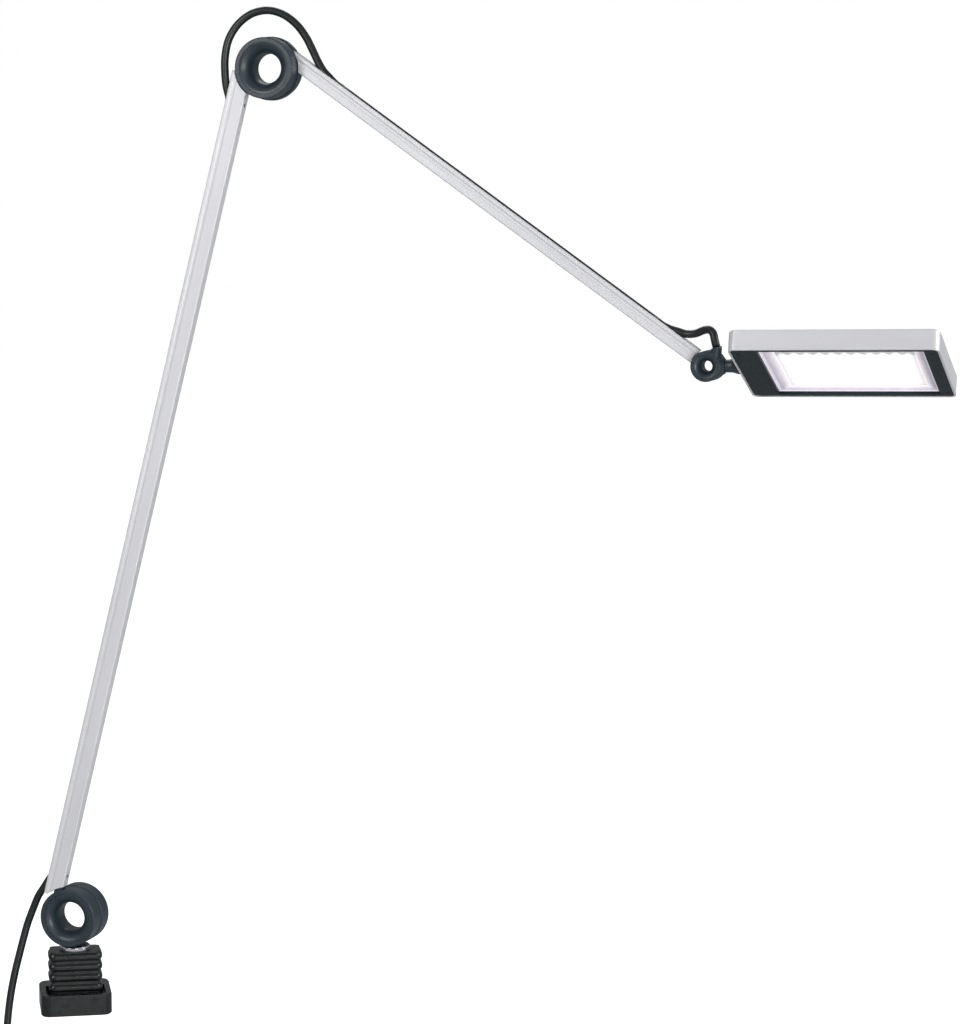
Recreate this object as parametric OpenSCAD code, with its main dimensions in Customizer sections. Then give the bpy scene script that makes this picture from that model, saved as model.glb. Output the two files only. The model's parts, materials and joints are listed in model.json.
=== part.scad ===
// Clamp-mounted task lamp: two slim arms on hollow ring hinges and a flat LED head.
// The z axis is the swivel axis. z = 0 is the face that rests on the desk top.
// The clamp is square to x and y, and opens towards +y. The arms stand in one upright
// plane that is turned by arm_yaw. Sizes are in millimetres.

/* [Arms] */
// Hub to hub length of the lower arm
lower_len = 745; // [500:5:900]
// Lean of the lower arm from upright
lower_lean = 14.3; // [5:0.1:30]
// Width of the lower arm, seen from the side
lower_w = 16; // [15:0.5:22]
// Distance of the lower arm's outer edge from the hub axes
lower_out = 26.6; // [26.2:0.1:30]
// Hub to hub length of the upper arm
upper_len = 440; // [300:5:600]
// Drop of the upper arm below the horizontal, hub to hub
upper_drop = 32.9; // [15:0.1:50]
// Width of the upper arm, seen from the side
upper_w = 12.5; // [12:0.5:18]
// Distance of the upper arm's outer edge from the elbow axis
upper_out = 24; // [22:0.1:26]
// Thickness of both arms, along the hub axes
arm_t = 10.5; // [10:0.1:14]
// Gap between the planes in which the two arms swing
arm_plane_gap = 1; // [0.5:0.1:3]
// Wall of the arm extrusions
arm_wall = 1.4; // [1:0.1:2]
// Turn of the arms about the swivel axis, against the clamp
arm_yaw = -26; // [-60:1:60]

/* [Ring hubs] */
// Radius of the front rings at the base and the elbow
ring_r = 25; // [23:0.1:26]
// Radius of the rear ring at the base
base_ring_r = 25.4; // [23:0.1:26]
// Radius of the wide rear ring at the elbow
elbow_ring_r = 26.1; // [25:0.1:28]
// Depth of each large hub from its axis plane to its front or rear face
hub_half = 16; // [15:0.5:20]
// Radius of the hole through the large hubs
throat_r = 12; // [9:0.5:12.5]
// Radius of the lip of the large funnels
lip_r = 21; // [19:0.1:21.5]
// Outer radius of the hollow axle in the large hubs
axle_r = 15; // [14.5:0.1:16]
// Height of the base hub's axis above the clamp column
hub_rise = 30.3; // [29:0.1:40]

/* [Head hub] */
// Radius of the small hub's rings
small_r = 12.4; // [12:0.1:16]
// Radius of the hole through the small hub
small_throat_r = 4.25; // [3:0.05:4.5]
// Radius of the lip of the small funnels
small_lip_r = 9.7; // [9:0.1:10.2]
// Outer radius of the hollow axle in the small hub
small_axle_r = 6; // [5.6:0.1:6.4]
// Depth of the ring on the head's side of the small hub
knuckle_t = 12.7; // [11:0.1:16]
// Depth of the ring on the arm's side of the small hub
small_ring_t = 12.7; // [12:0.1:16]

/* [Head] */
// Length of the lamp head
head_l = 165; // [140:0.5:240]
// Width of the lamp head
head_w = 117.5; // [90:0.5:140]
// Thickness of the lamp head
head_h = 17; // [16:0.5:26]
// Distance from the small hub's axis to the head
head_gap = 27; // [25:0.5:40]
// Wall of the head's housing
head_wall = 1.6; // [1.2:0.1:3]
// Corner radius of the head, seen from above
head_corner = 6; // [4:0.5:12]
// Width of the dark panel at the hub's end of the head
panel_w = 22.5; // [18:0.5:30]
// Width of the dark border at the far end of the window
far_border = 12.5; // [8:0.5:20]
// Width of the dark border along the sides of the window
side_border = 6.5; // [5:0.5:12]
// Depth of the light well above the window
well_depth = 6; // [5:0.5:8]
// Slope width of the light well's end walls
well_slope = 10; // [6:0.5:14]
// Number of LEDs along the head
leds_long = 11; // [6:1:14]
// Number of LEDs across the head
leds_wide = 4; // [2:1:6]
// Upward pitch of the head at rest
head_pitch = 1; // [-20:1:20]
// Roll of the head at rest, which turns its light towards the front
head_roll = 22; // [0:1:45]

/* [Clamp] */
// Width of the ribbed clamp column
column_w = 46; // [44:0.5:60]
// Depth of the ribbed clamp column
column_d = 26.6; // [25:0.2:36]
// Height of the column's top above the desk top
column_top = 18; // [16:0.5:24]
// How far the ribs stand proud
rib_out = 1.5; // [0.5:0.1:2.5]
// Distance from rib to rib
rib_pitch = 9; // [7:0.5:12]
// Reach of the upper jaw behind the column
jaw_reach = 30; // [26:0.5:30]
// Thickness of the upper jaw
jaw_t = 6; // [4:0.5:8]
// Thickness of the rubber pads
pad_t = 1.5; // [1:0.1:3]
// Width of the sliding lower jaw
block_w = 60.5; // [58:0.5:70]
// Height of the sliding lower jaw
block_h = 18; // [16:0.5:24]
// Length of the lower jaw in front of the column
block_front = 10.7; // [8:0.1:16]
// Length of the lower jaw behind the column
block_back = 21.7; // [21:0.1:26]
// Clear gap between the upper pad and the lower jaw at rest
jaw_gap = 17.3; // [15:0.1:30]
// Radius of the swivel shaft
shaft_r = 8; // [6:0.5:8.5]
// Radius of the bright swivel collar
collar_r = 13.2; // [11:0.1:13.2]

/* [Cord] */
// Diameter of the mains cord
cord_d = 6.4; // [5:0.1:6.5]
// How far the cord stands out of the upper arm's groove
upper_proud = 1; // [0:0.1:2]
// How far the cord stands out of the lower arm's groove
lower_proud = -0.4; // [-0.8:0.1:1]
// Diameter of the put-away coil, at the middle of its turns
coil_d = 74; // [66:1:80]
// Number of turns in the first layer of the coil
coil_turns = 3.25; // [2.25:0.25:4.25]

/* [Fits] */
// Radial clearance of turning fits
run_fit = 0.05; // [0.02:0.01:0.1]
// Gap between parts that pass each other
pass_gap = 0.6; // [0.4:0.1:1]
// Gap round seated and slipped-in parts
seat_gap = 0.15; // [0.1:0.05:0.3]

/* [Hidden] */

// Colours
dark = [0.17, 0.21, 0.22];
silver = [0.83, 0.84, 0.86];
black = [0.08, 0.09, 0.09];
chrome = [0.78, 0.8, 0.82];
steel = [0.6, 0.61, 0.63];

// Round shapes
round_fn = 96;
small_fn = 32;
horn_steps = 8;
corner_steps = 5;
big = 200;

// Places of the arms' planes along the hub axes
upper_y = 2.25;
lower_y = upper_y - arm_t - arm_plane_gap;

// Hub centres, in the arms' upright plane
hub_z = column_top + hub_rise;
h1 = [0, 0, hub_z];
h2 = h1 + lower_len * [sin(lower_lean), 0, cos(lower_lean)];
h3 = h2 + upper_len * [cos(upper_drop), 0, -sin(upper_drop)];
// The upper arm's middle line runs from beside the elbow to the small hub's axis
upper_off = upper_out - upper_w / 2;
upper_angle = upper_drop + asin(upper_off / upper_len);
upper_run = sqrt(upper_len * upper_len - upper_off * upper_off);

// Cord groove and cavity of the extrusions
slot_w = cord_d + 2 * seat_gap;
groove_floor = 1.2;
valley_w = 3.4;
valley_depth = 0.5;
valley_at = 4.6;
arm_round = 1.2;
cavity_h = arm_t - 2 * arm_wall;
function groove_depth(proud) = cord_d - proud + seat_gap;
spigot_len = 42;
arm_screw_r = 2;
arm_screw_at = 30;

// Clearances round the hubs
lower_end_r = ring_r + 2.2;
lower_top_r = ring_r + 1;
upper_end_r = ring_r + 0.8;
small_end_r = small_r + 1.4;
lower_tip_bottom = 15;
lower_tip_top = 8;

// Stack of a large hub along its axis
split_t = 1.2;
horn_depth = 12;
horn_start = hub_half - 0.5 - horn_depth;
flange_t = 6;
web_t = 5.8;
spring_t = 1.5;
bore_r = lip_r + 0.3;
front_web = -hub_half + 0.5 + flange_t;
rear_web = split_t + web_t;
nut_y = rear_web + spring_t;
tube_end = nut_y + 3;
rim_chamfer = 0.8;

// Stack of the small hub along its axis
small_split_t = 0.6;
small_front = -11.5;
small_mid = small_front + knuckle_t;
small_ring_y = small_mid + small_split_t;
small_rear = small_ring_y + small_ring_t;
small_flange_t = 4.7;
neck_y = (small_front + small_flange_t + small_mid) / 2;
small_horn_front = 8.2;
small_horn_rear = 8.2;
small_web_end = small_ring_y + 5.2;
small_spring_t = 1;
small_nut_y = small_web_end + small_spring_t;
small_tube_end = small_nut_y + 2.5;
small_bore_r = small_lip_r + 0.3;

// Neck between the small hub and the head
neck_r = 3.4;
neck_socket = 14.5;
neck_start = small_axle_r + 0.8;
neck_collar_r = 5.2;
neck_flare_r = 8.2;
neck_tip_r = 3;
neck_nut_r = 5;
neck_nut_t = 3.5;
boss_r = 4.3;
boss_tilt = 14;
boss_at = [8.2, -7.6, 15.4];
boss_root = [7.2, -6.6, 7.5];

// Head, in its own frame: x along the head from the small hub, z up through it
head_mid_z = 1.7;
head_x0 = head_gap;
head_x1 = head_gap + head_l;
head_z0 = head_mid_z - head_h / 2;
head_z1 = head_mid_z + head_h / 2;
housing_top = 2;
bezel_t = 2.5;
bezel_inset = 0.5;
win_x0 = head_x0 + panel_w;
win_x1 = head_x1 - far_border;
win_y = head_w / 2 - side_border;
well_side_slope = 4;
well_wall = 1;
floor_x0 = win_x0 + well_slope;
floor_x1 = win_x1 - well_slope;
floor_y = win_y - well_side_slope;
well_z0 = head_z0 + bezel_inset + bezel_t;
well_z1 = well_z0 + well_depth - bezel_t;
diffuser_t = 1.5;
led_h = 0.8;
led_size = 3;
board_t = 1.6;
spreader_t = 1.5;
board_z = head_z1 - housing_top - spreader_t - board_t;
button_r = 7;
button_travel = 1;
button_x = head_x0 + panel_w / 2 + 1;

// Clamp
column_bottom = -jaw_gap - block_h + 2.3;
rib_count = floor((column_top - column_bottom) / rib_pitch);
column_corner = 6;
block_corner = 8;
block_top = -jaw_gap;
block_bottom = block_top - block_h;
window_gap = 0.5;
recess_side = 5;
recess_depth = 4;
under_recess = 8.3;
screw_y = column_d / 2 + 12;
screw_r = 4;
insert_r = 5.5;
press_r = 9;
press_t = 3;
bush_wall = 2;
bush_r = shaft_r + run_fit + bush_wall;
bush_flange = 0.6;
bush_bottom = -12;
collar_z = column_top + bush_flange;
shaft_bottom = -18;
clip_t = 1.2;
collar_top = hub_z - ring_r - pass_gap - 0.2;
end_plate_t = 2;

// Points of a rounded rectangle
function rounded(x0, x1, y0, y1, r) = [
    for (c = [[x1 - r, y1 - r, 0], [x0 + r, y1 - r, 90], [x0 + r, y0 + r, 180], [x1 - r, y0 + r, 270]])
        for (i = [0:corner_steps])
            let (a = c[2] + 90 * i / corner_steps)
                [c[0] + r * cos(a), c[1] + r * sin(a)]
];

// Points of a funnel's curve from the throat [r, y] to the lip [r, y], up to a share of it
function horn(throat, lip, share = 1) = [
    for (i = [0:horn_steps])
        let (t = asin(share) * i / horn_steps)
            [throat[0] + (lip[0] - throat[0]) * (1 - cos(t)), throat[1] + (lip[1] - throat[1]) * sin(t)]
];
function backwards(list) = [for (i = [len(list) - 1:-1:0]) list[i]];

// Frames
module arm_plane() rotate([0, 0, arm_yaw]) children();
module at_base_hub() arm_plane() translate(h1) children();
module at_elbow() arm_plane() translate(h2) children();
module at_head_hub() arm_plane() translate(h3) children();
module along_lower() at_base_hub() rotate([0, lower_lean, 0]) children();
module along_upper() at_elbow() rotate([0, 90 + upper_angle, 0]) children();
module on_neck() translate([0, neck_y, 0]) rotate([0, -head_pitch, 0]) children();
module in_head() at_head_hub() on_neck() rotate([-head_roll, 0, 0]) children();

// A solid turned about the hub axis, from points [radius, place along the axis]
module spin(points, fn = round_fn) rotate([-90, 0, 0]) rotate_extrude($fn = fn) polygon(points);
module bar_y(r, y0, y1, fn = round_fn) translate([0, y0, 0]) rotate([-90, 0, 0])
    cylinder(r = r, h = y1 - y0, $fn = fn);
module bar_x(r, x0, x1, fn = small_fn) translate([x0, 0, 0]) rotate([0, 90, 0])
    cylinder(r = r, h = x1 - x0, $fn = fn);
module slab(x0, x1, y0, y1, z0, z1, r) translate([0, 0, z0])
    linear_extrude(z1 - z0) polygon(rounded(x0, x1, y0, y1, r));
module block(x0, x1, y0, y1, z0, z1) translate([x0, y0, z0]) cube([x1 - x0, y1 - y0, z1 - z0]);

// Ring hub pieces
module front_ring() {
    spin([
        [axle_r + run_fit, front_web], [bore_r, front_web], [bore_r, -hub_half],
        [ring_r - rim_chamfer, -hub_half], [ring_r, -hub_half + rim_chamfer],
        [ring_r, -rim_chamfer], [ring_r - rim_chamfer, 0], [axle_r + run_fit, 0],
    ]);
}
module rear_ring(r, tail_r) {
    spin([
        [axle_r + run_fit, split_t], [r - rim_chamfer, split_t], [r, split_t + rim_chamfer],
        [r, split_t + 5], [r - (r - tail_r) * 0.35, hub_half - 5], [tail_r, hub_half - rim_chamfer],
        [tail_r - rim_chamfer, hub_half], [bore_r, hub_half], [bore_r, rear_web],
        [axle_r + run_fit, rear_web],
    ]);
}
module hollow_axle() {
    lip = [lip_r, horn_start + horn_depth];
    front = horn([throat_r, -horn_start], [lip[0], -lip[1]]);
    back = horn([throat_r, horn_start], lip, (tube_end - horn_start) / horn_depth);
    spin(concat(
        back, [[axle_r, tube_end], [axle_r, front_web], [lip_r + seat_gap, front_web]],
        [[lip_r + seat_gap, -lip[1]]], backwards(front)
    ));
}
module axle_nut() {
    lip = [lip_r, horn_start + horn_depth];
    share = (tube_end + seat_gap - horn_start) / horn_depth;
    all = [
        for (i = [0:horn_steps])
            let (t = asin(share) + (90 - asin(share)) * i / horn_steps)
                [throat_r + (lip_r - throat_r) * (1 - cos(t)), horn_start + horn_depth * sin(t)]
    ];
    spin(concat(
        all, [[lip_r + seat_gap, lip[1]], [lip_r + seat_gap, nut_y], [axle_r + run_fit, nut_y]],
        [[axle_r + run_fit, tube_end + seat_gap]]
    ));
}
module friction_washer() spin([[axle_r + 0.4, 0], [bore_r - 1.3, 0], [bore_r - 1.3, split_t], [axle_r + 0.4, split_t]]);
module disc_spring() {
    leaf = 0.6;
    spin([
        [axle_r + 0.6, nut_y - leaf], [axle_r + 0.6, nut_y], [bore_r - 1.3, rear_web + leaf],
        [bore_r - 1.3, rear_web],
    ]);
}

// Extruded arm section: x inwards from the outer edge at -out, y along the hub axis
module arm_section(w, out, y, proud) {
    depth = groove_depth(proud);
    valley_r = valley_w * valley_w / 8 / valley_depth + valley_depth / 2;
    difference() {
        polygon(rounded(-out, -out + w, y - arm_t / 2, y + arm_t / 2, arm_round));
        translate([-out - 1, y - slot_w / 2]) square([1 + depth - slot_w / 2, slot_w]);
        translate([-out + depth - slot_w / 2, y]) circle(d = slot_w, $fn = small_fn);
        translate([-out + depth + groove_floor, y - cavity_h / 2])
            square([w - depth - groove_floor - arm_wall, cavity_h]);
        for (s = [-1, 1])
            translate([-out + valley_at, y + s * (arm_t / 2 - valley_depth + valley_r)])
                circle(r = valley_r, $fn = round_fn);
    }
}
// Tongue that fills the arm's cavity, from z0 to z1 along the arm
module spigot(w, out, y, proud, z0, z1, y_from = -big) {
    x0 = -out + groove_depth(proud) + groove_floor + seat_gap;
    x1 = -out + w - arm_wall - seat_gap;
    y0 = max(y_from, y - cavity_h / 2 + seat_gap);
    block(x0, x1, y0, y + cavity_h / 2 - seat_gap, z0, z1);
}
module arm_screw(w, out, y, z) {
    x1 = -out + w;
    translate([0, y, z]) difference() {
        bar_x(arm_screw_r - run_fit, x1 - arm_wall - seat_gap, x1 - 0.2);
        bar_x(1.1, x1 - 1.2, x1 + 1, 6);
    }
}
module arm_screw_hole(w, out, y, z) translate([0, y, z]) bar_x(arm_screw_r, -out + w - arm_wall - 1, -out + w + 1);

// Swept round cord
function unit(v) = v / norm(v);
function tangent(p, i) = unit(p[min(i + 1, len(p) - 1)] - p[max(i - 1, 0)]);
function turned(v, a, b) =
    // Carries the vector v along as the direction turns from a to b
    let (axis = cross(a, b), s = norm(axis))
        s < 1e-9 ? v : let (k = axis / s, c = a * b)
            v * c + cross(k, v) * s + k * (k * v) * (1 - c);
function carried(p, i, v) = i == 0 ? v : turned(carried(p, i - 1, v), tangent(p, i - 1), tangent(p, i));
function frames(p, i, v, list) =
    i == len(p) ? list
    : let (w = i == 0 ? v : turned(v, tangent(p, i - 1), tangent(p, i))) frames(p, i + 1, w, concat(list, [w]));
// Points of a smooth curve through the route, with steps rings to each stretch
function curve_at(a, b, c, d, t) =
    0.5 * (2 * b + (c - a) * t + (2 * a - 5 * b + 4 * c - d) * t * t + (3 * b - a - 3 * c + d) * t * t * t);
function smooth(p, steps) = concat([
    for (i = [0:len(p) - 2]) for (k = [0:steps - 1])
        curve_at(
            i == 0 ? 2 * p[0] - p[1] : p[i - 1], p[i], p[i + 1],
            i + 2 > len(p) - 1 ? 2 * p[i + 1] - p[i] : p[i + 2], k / steps
        )
], [p[len(p) - 1]]);
function square_to(v, t) = unit(v - t * (v * t));
// The cord's ends are cut square to start_dir and end_dir
module cord_tube(p, start_dir, end_dir, sides = 10) {
    up = frames(p, 0, square_to([0, 1, 0], tangent(p, 0)), []);
    points = [
        for (i = [0:len(p) - 1])
            let (
                t = unit(i == 0 ? start_dir : i == len(p) - 1 ? end_dir : tangent(p, i)),
                u = square_to(up[i], t),
                v = cross(t, u)
            )
                for (k = [0:sides - 1])
                    p[i] + cord_d / 2 * (cos(360 * k / sides) * u + sin(360 * k / sides) * v)
    ];
    walls = [
        for (i = [0:len(p) - 2]) for (k = [0:sides - 1])
            let (a = i * sides + k, b = i * sides + (k + 1) % sides)
                each [[a, b, b + sides], [a, b + sides, a + sides]]
    ];
    last = (len(p) - 1) * sides;
    caps = concat(
        [for (k = [1:sides - 2]) [0, k + 1, k]],
        [for (k = [1:sides - 2]) [last, last + k, last + k + 1]]
    );
    polyhedron(points = points, faces = [for (f = concat(walls, caps)) [f[0], f[2], f[1]]]);
}
// A point over an arm's groove: s along the arm from a hub, out from the groove's cord line
lower_cord_r = lower_out - cord_d / 2 + lower_proud;
upper_cord_r = upper_out - cord_d / 2 + upper_proud;
lower_dir = [sin(lower_lean), 0, cos(lower_lean)];
upper_dir = [cos(upper_angle), 0, -sin(upper_angle)];
function lower_groove(s, out = 0) =
    [0, lower_y, 0] + s * lower_dir + (lower_cord_r + out) * [-cos(lower_lean), 0, sin(lower_lean)];
function upper_groove(s, out = 0) =
    [0, upper_y, 0] + s * upper_dir + (upper_cord_r + out) * [sin(upper_angle), 0, cos(upper_angle)];

// Where each run of cord in a groove begins and ends, along its arm
lower_run_start = 44;
lower_run_end = lower_len - 50;
upper_run_start = 60;
upper_run_end = upper_run - 56;
// Loop over the elbow, from the elbow's axis
elbow_route = concat(
    [lower_groove(-50), lower_groove(-42), lower_groove(-35.5, 1), lower_groove(-30, 3)],
    [[-34, -9.25, -17.5], [-35.2, -9.2, -11], [-35.8, -9.1, -3], [-35.8, -8.7, 9], [-32.3, -7.6, 24.9],
     [-24.2, -6, 37], [-12.7, -4.2, 45], [0, -2.4, 47.2], [12.3, -0.8, 43.8], [22.8, 0.8, 36],
     [31.2, 1.8, 25], [37.2, 2.2, 13.3], [41.6, 2.25, 4.4], [46, 2.25, -2.6], [50.6, 2.25, -7.4]],
    [upper_groove(53), upper_groove(upper_run_start)]
);
// Bend from the upper arm to the head, from the small hub's axis
elbow_to_head = [h2[0] - h3[0], 0, h2[2] - h3[2]];
boss_dir = [-sin(boss_tilt), 0, cos(boss_tilt)];
head_bend_route = concat(
    [for (p = [[0, 0], [7, 0], [14, 1.3]]) upper_groove(upper_run_end + p[0], p[1]) + elbow_to_head],
    [[-26, 2.25, 27.2], [-18.9, 2.2, 25.2], [-14.4, 1.6, 25.1], [-9.8, 0.4, 25.9], [-3.3, -2, 28.5],
     [1.1, -4, 29.2], [4.9, -6, 26.8], [6.6, -7.2, 21.3]],
    [boss_at + seat_gap * boss_dir]
);
// Free lead from the foot of the lower arm, from the base hub's axis
tail_end = [-36.1, -10.5, 0];
tail_route = concat(
    [lower_groove(lower_run_start), lower_groove(38), lower_groove(32, 1.2)],
    [[-19, -9.25, 32.2], [-22.4, -9.25, 27], [-25.4, -9.25, 22.6], [-28.5, -9.3, 18], [-33.6, -9.8, 6.6], tail_end]
);
drop_route = [
    tail_end, [-38.4, -11.2, -6.4], [-41.8, -13.4, -19.8], [-44.9, -15.6, -33.6], [-47.9, -17.8, -47.6],
    [-50.4, -19.7, -61.5], [-52.2, -21.4, -75], [-53.4, -22.8, -88], [-53.8, -23.6, -95.32],
];
tail_dir = drop_route[1] - tail_route[len(tail_route) - 2];
down = [0, 0, -1];
// Coil that hangs from the lead: it spirals in on the front layer and out on the rear one.
// The lead bends round to run into the coil at its upper right, 30 degrees from the top.
coil_rings = 24;
coil_step = cord_d + 0.8;
coil_climb = coil_rings / 4;
coil_in_steps = round(coil_turns * coil_rings);
coil_out_steps = coil_rings / 6 + coil_rings * (2 * floor(coil_turns) + 1) - coil_in_steps - coil_climb;
coil_out_r = coil_d / 2 + coil_turns * coil_step / 2;
coil_in_r = coil_d / 2 - coil_turns * coil_step / 2;
coil_top_r = coil_in_r + coil_step * (coil_out_steps / coil_rings - 0.25);
coil_start = [-53.8, -23.6, -103];
lead_r = coil_out_r;
coil_centre = coil_start - [0, 0, (coil_out_r + lead_r) * cos(30)];
lead_bend = [for (a = [0:12:48]) coil_start + lead_r * [1 - cos(a), 0, -sin(a)]];
function coil_point(i) =
    // i counts rings: the first spiral, the quarter turn that climbs a layer, the second spiral
    let (
        a = 60 - 360 * i / coil_rings,
        up = i - coil_in_steps,
        out = up - coil_climb,
        r = up <= 0 ? coil_out_r - (coil_out_r - coil_in_r) * i / coil_in_steps
            : out <= 0 ? coil_in_r
            : coil_in_r + coil_step * out / coil_rings,
        y = coil_step * min(max(up / coil_climb, 0), 1)
    )
        coil_centre + [r * cos(a), y, r * sin(a)];
coil_count = coil_in_steps + coil_climb + coil_out_steps;
coil_path = [for (i = [0:coil_count]) coil_point(i)];
coil_end = coil_path[coil_count] - [0, 0, 1.2 * cord_d];
coil_route = concat([coil_start + [0, 0, 1.2 * cord_d]], lead_bend, coil_path, [coil_end]);
// Least gap between turns, measured on points half a turn or more apart
coil_gap = min([
    for (i = [0:coil_count]) for (k = [i + coil_rings / 2:coil_count]) norm(coil_path[i] - coil_path[k])
]) - cord_d;
echo(coil_gap = coil_gap);
plug_at = coil_end - [0, 0, 22];

// Clamp pieces
module column_outline(inset) polygon(rounded(
    -column_w / 2 + inset, column_w / 2 - inset, -column_d / 2 + inset, column_d / 2, column_corner - inset
));
module clamp_column() color(black) {
    core = column_bottom;
    difference() {
        union() {
            translate([0, 0, core]) linear_extrude(column_top - core) column_outline(rib_out);
            for (i = [0:rib_count - 1]) translate([0, 0, column_top - rib_pitch * (i + 0.5)]) hull() {
                translate([0, 0, -rib_pitch * 0.38]) linear_extrude(rib_pitch * 0.76) column_outline(rib_out);
                translate([0, 0, -rib_pitch * 0.26]) linear_extrude(rib_pitch * 0.52) column_outline(rib_out * 0.4);
                translate([0, 0, -rib_pitch * 0.12]) linear_extrude(rib_pitch * 0.24) column_outline(0);
            }
            translate([0, 0, pad_t]) linear_extrude(jaw_t) upper_jaw_outline(0);
        }
        translate([0, 0, core - 1]) cylinder(r = bush_r + seat_gap, h = column_top - core + 2, $fn = round_fn);
        for (s = [-1, 1]) translate([s * (column_w / 2 - 7), 0, core - 1]) cylinder(r = 2, h = 13, $fn = small_fn);
    }
}
module upper_jaw_outline(inset) {
    jaw_half = column_w / 2 - 2 - inset;
    back = column_d / 2 + jaw_reach - inset;
    translate([-jaw_half, column_d / 2 - 3 + inset * 2]) square([2 * jaw_half, back - jaw_half - column_d / 2 + 3 - inset * 2]);
    translate([0, back - jaw_half]) intersection() {
        circle(r = jaw_half, $fn = round_fn);
        translate([-big, 0]) square([2 * big, big]);
    }
}
module upper_jaw_pad() color(black) linear_extrude(pad_t) difference() {
    upper_jaw_outline(1.6);
    translate([-big, -big]) square([2 * big, big + column_d / 2 + 0.3]);
}
module lower_jaw() color(dark) {
    front = -column_d / 2 - block_front;
    back = column_d / 2 + block_back;
    half = block_w / 2;
    difference() {
        union() {
            slab(-half, half, front, back, block_bottom + 1, block_top - 1, block_corner);
            slab(-half + 1, half - 1, front + 1, back - 1, block_bottom, block_top, block_corner - 1);
        }
        slab(-half + recess_side, half - recess_side, front + recess_side, column_d / 2 + 2,
             block_top - recess_depth, block_top + 1, block_corner - recess_side + 1);
        slab(-column_w / 2 - window_gap, column_w / 2 + window_gap, -column_d / 2 - window_gap,
             column_d / 2 + window_gap, block_bottom - 1, block_top + 1, column_corner);
        slab(-column_w / 2 - 2.5, column_w / 2 + 2.5, -column_d / 2 - 2.7, column_d / 2 + 2.7,
             block_bottom - 1, block_bottom + under_recess, column_corner);
        translate([0, screw_y, block_bottom - 1]) cylinder(r = insert_r + seat_gap, h = block_h + 2, $fn = round_fn);
    }
}
module screw_insert() color([0.75, 0.62, 0.3]) translate([0, screw_y, 0]) difference() {
    translate([0, 0, block_bottom + 3]) cylinder(r = insert_r, h = block_h - 3, $fn = round_fn);
    translate([0, 0, block_bottom]) cylinder(r = screw_r + run_fit, h = block_h + 1, $fn = round_fn);
}
module clamp_screw() color(steel) translate([0, screw_y, 0]) difference() {
    translate([0, 0, block_bottom + 1]) cylinder(r = screw_r, h = block_h - 1 + 1.5, $fn = round_fn);
    translate([0, 0, block_bottom]) cylinder(r = 2.6, h = 5, $fn = 6);
}
module pressure_pad() color(black) translate([0, screw_y, block_top]) difference() {
    union() {
        translate([0, 0, 0.2]) cylinder(r = press_r - 0.6, h = press_t - 0.2, $fn = round_fn);
        translate([0, 0, 0.8]) cylinder(r = press_r, h = press_t - 1.4, $fn = round_fn);
    }
    cylinder(r = screw_r + run_fit, h = 1.5, $fn = round_fn);
}
module column_end_plate() color(steel) difference() {
    slab(-column_w / 2 - 2, column_w / 2 + 2, -column_d / 2 - 2.2, column_d / 2 + 2.2,
         column_bottom - end_plate_t, column_bottom, column_corner);
    for (s = [-1, 1]) translate([s * (column_w / 2 - 7), 0, column_bottom - end_plate_t - 1])
        cylinder(r = 2.2, h = 4, $fn = small_fn);
}
module end_plate_screws() color(steel) for (s = [-1, 1]) translate([s * (column_w / 2 - 7), 0, column_bottom - end_plate_t])
    difference() {
        union() {
            translate([0, 0, -0.6]) cylinder(r = 3.6, h = 0.6, $fn = small_fn);
            cylinder(r = 1.95, h = 11, $fn = small_fn);
        }
        translate([0, 0, -1]) cylinder(r = 1.2, h = 2.4, $fn = 6);
    }

// Swivel pieces
module swivel_bush() color(dark) rotate_extrude($fn = round_fn) polygon([
    [shaft_r + run_fit, bush_bottom], [bush_r, bush_bottom], [bush_r, column_top], [collar_r - 0.4, column_top],
    [collar_r - 0.4, column_top + bush_flange], [shaft_r + run_fit, column_top + bush_flange],
]);
module swivel_collar() color(chrome) rotate_extrude($fn = round_fn) polygon([
    [shaft_r + seat_gap, collar_z], [collar_r - 0.5, collar_z], [collar_r, collar_z + 0.5],
    [collar_r, collar_top - 1.4], [collar_r - 0.5, collar_top - 0.5], [collar_r - 1.5, collar_top],
    [shaft_r + seat_gap, collar_top],
]);
module swivel_clip() color(steel) translate([0, 0, bush_bottom - 0.3 - clip_t]) difference() {
    cylinder(r = bush_r - 0.6, h = clip_t, $fn = round_fn);
    translate([0, 0, -1]) cylinder(r = shaft_r - 1, h = clip_t + 2, $fn = round_fn);
    translate([0, -2, -1]) cube([big, 4, clip_t + 2]);
}
module base_knuckle() color(dark) {
    difference() {
        union() {
            translate([0, 0, shaft_bottom]) cylinder(r = shaft_r, h = collar_top - shaft_bottom, $fn = round_fn);
            at_base_hub() difference() {
                union() {
                    rear_ring(base_ring_r, base_ring_r);
                    intersection() {
                        block(-7, 7, split_t, 7.2, collar_top - hub_z - 1, -base_ring_r + 3);
                        translate([0, 0, -hub_z]) cylinder(r = shaft_r - 0.4, h = hub_z, $fn = round_fn);
                    }
                }
                bar_y(bore_r, rear_web, hub_half + 1);
                bar_y(axle_r + run_fit, 0, hub_half);
            }
        }
        translate([0, 0, bush_bottom - 0.3 - clip_t - 0.1]) difference() {
            cylinder(r = shaft_r + 1, h = clip_t + 0.2, $fn = round_fn);
            cylinder(r = shaft_r - 1 - run_fit, h = clip_t + 0.2, $fn = round_fn);
        }
    }
}
module base_axle() color(dark) at_base_hub() hollow_axle();
module base_axle_nut() color(dark) at_base_hub() axle_nut();
module base_friction_washer() color(black) at_base_hub() friction_washer();
module base_disc_spring() color(steel) at_base_hub() disc_spring();

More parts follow.
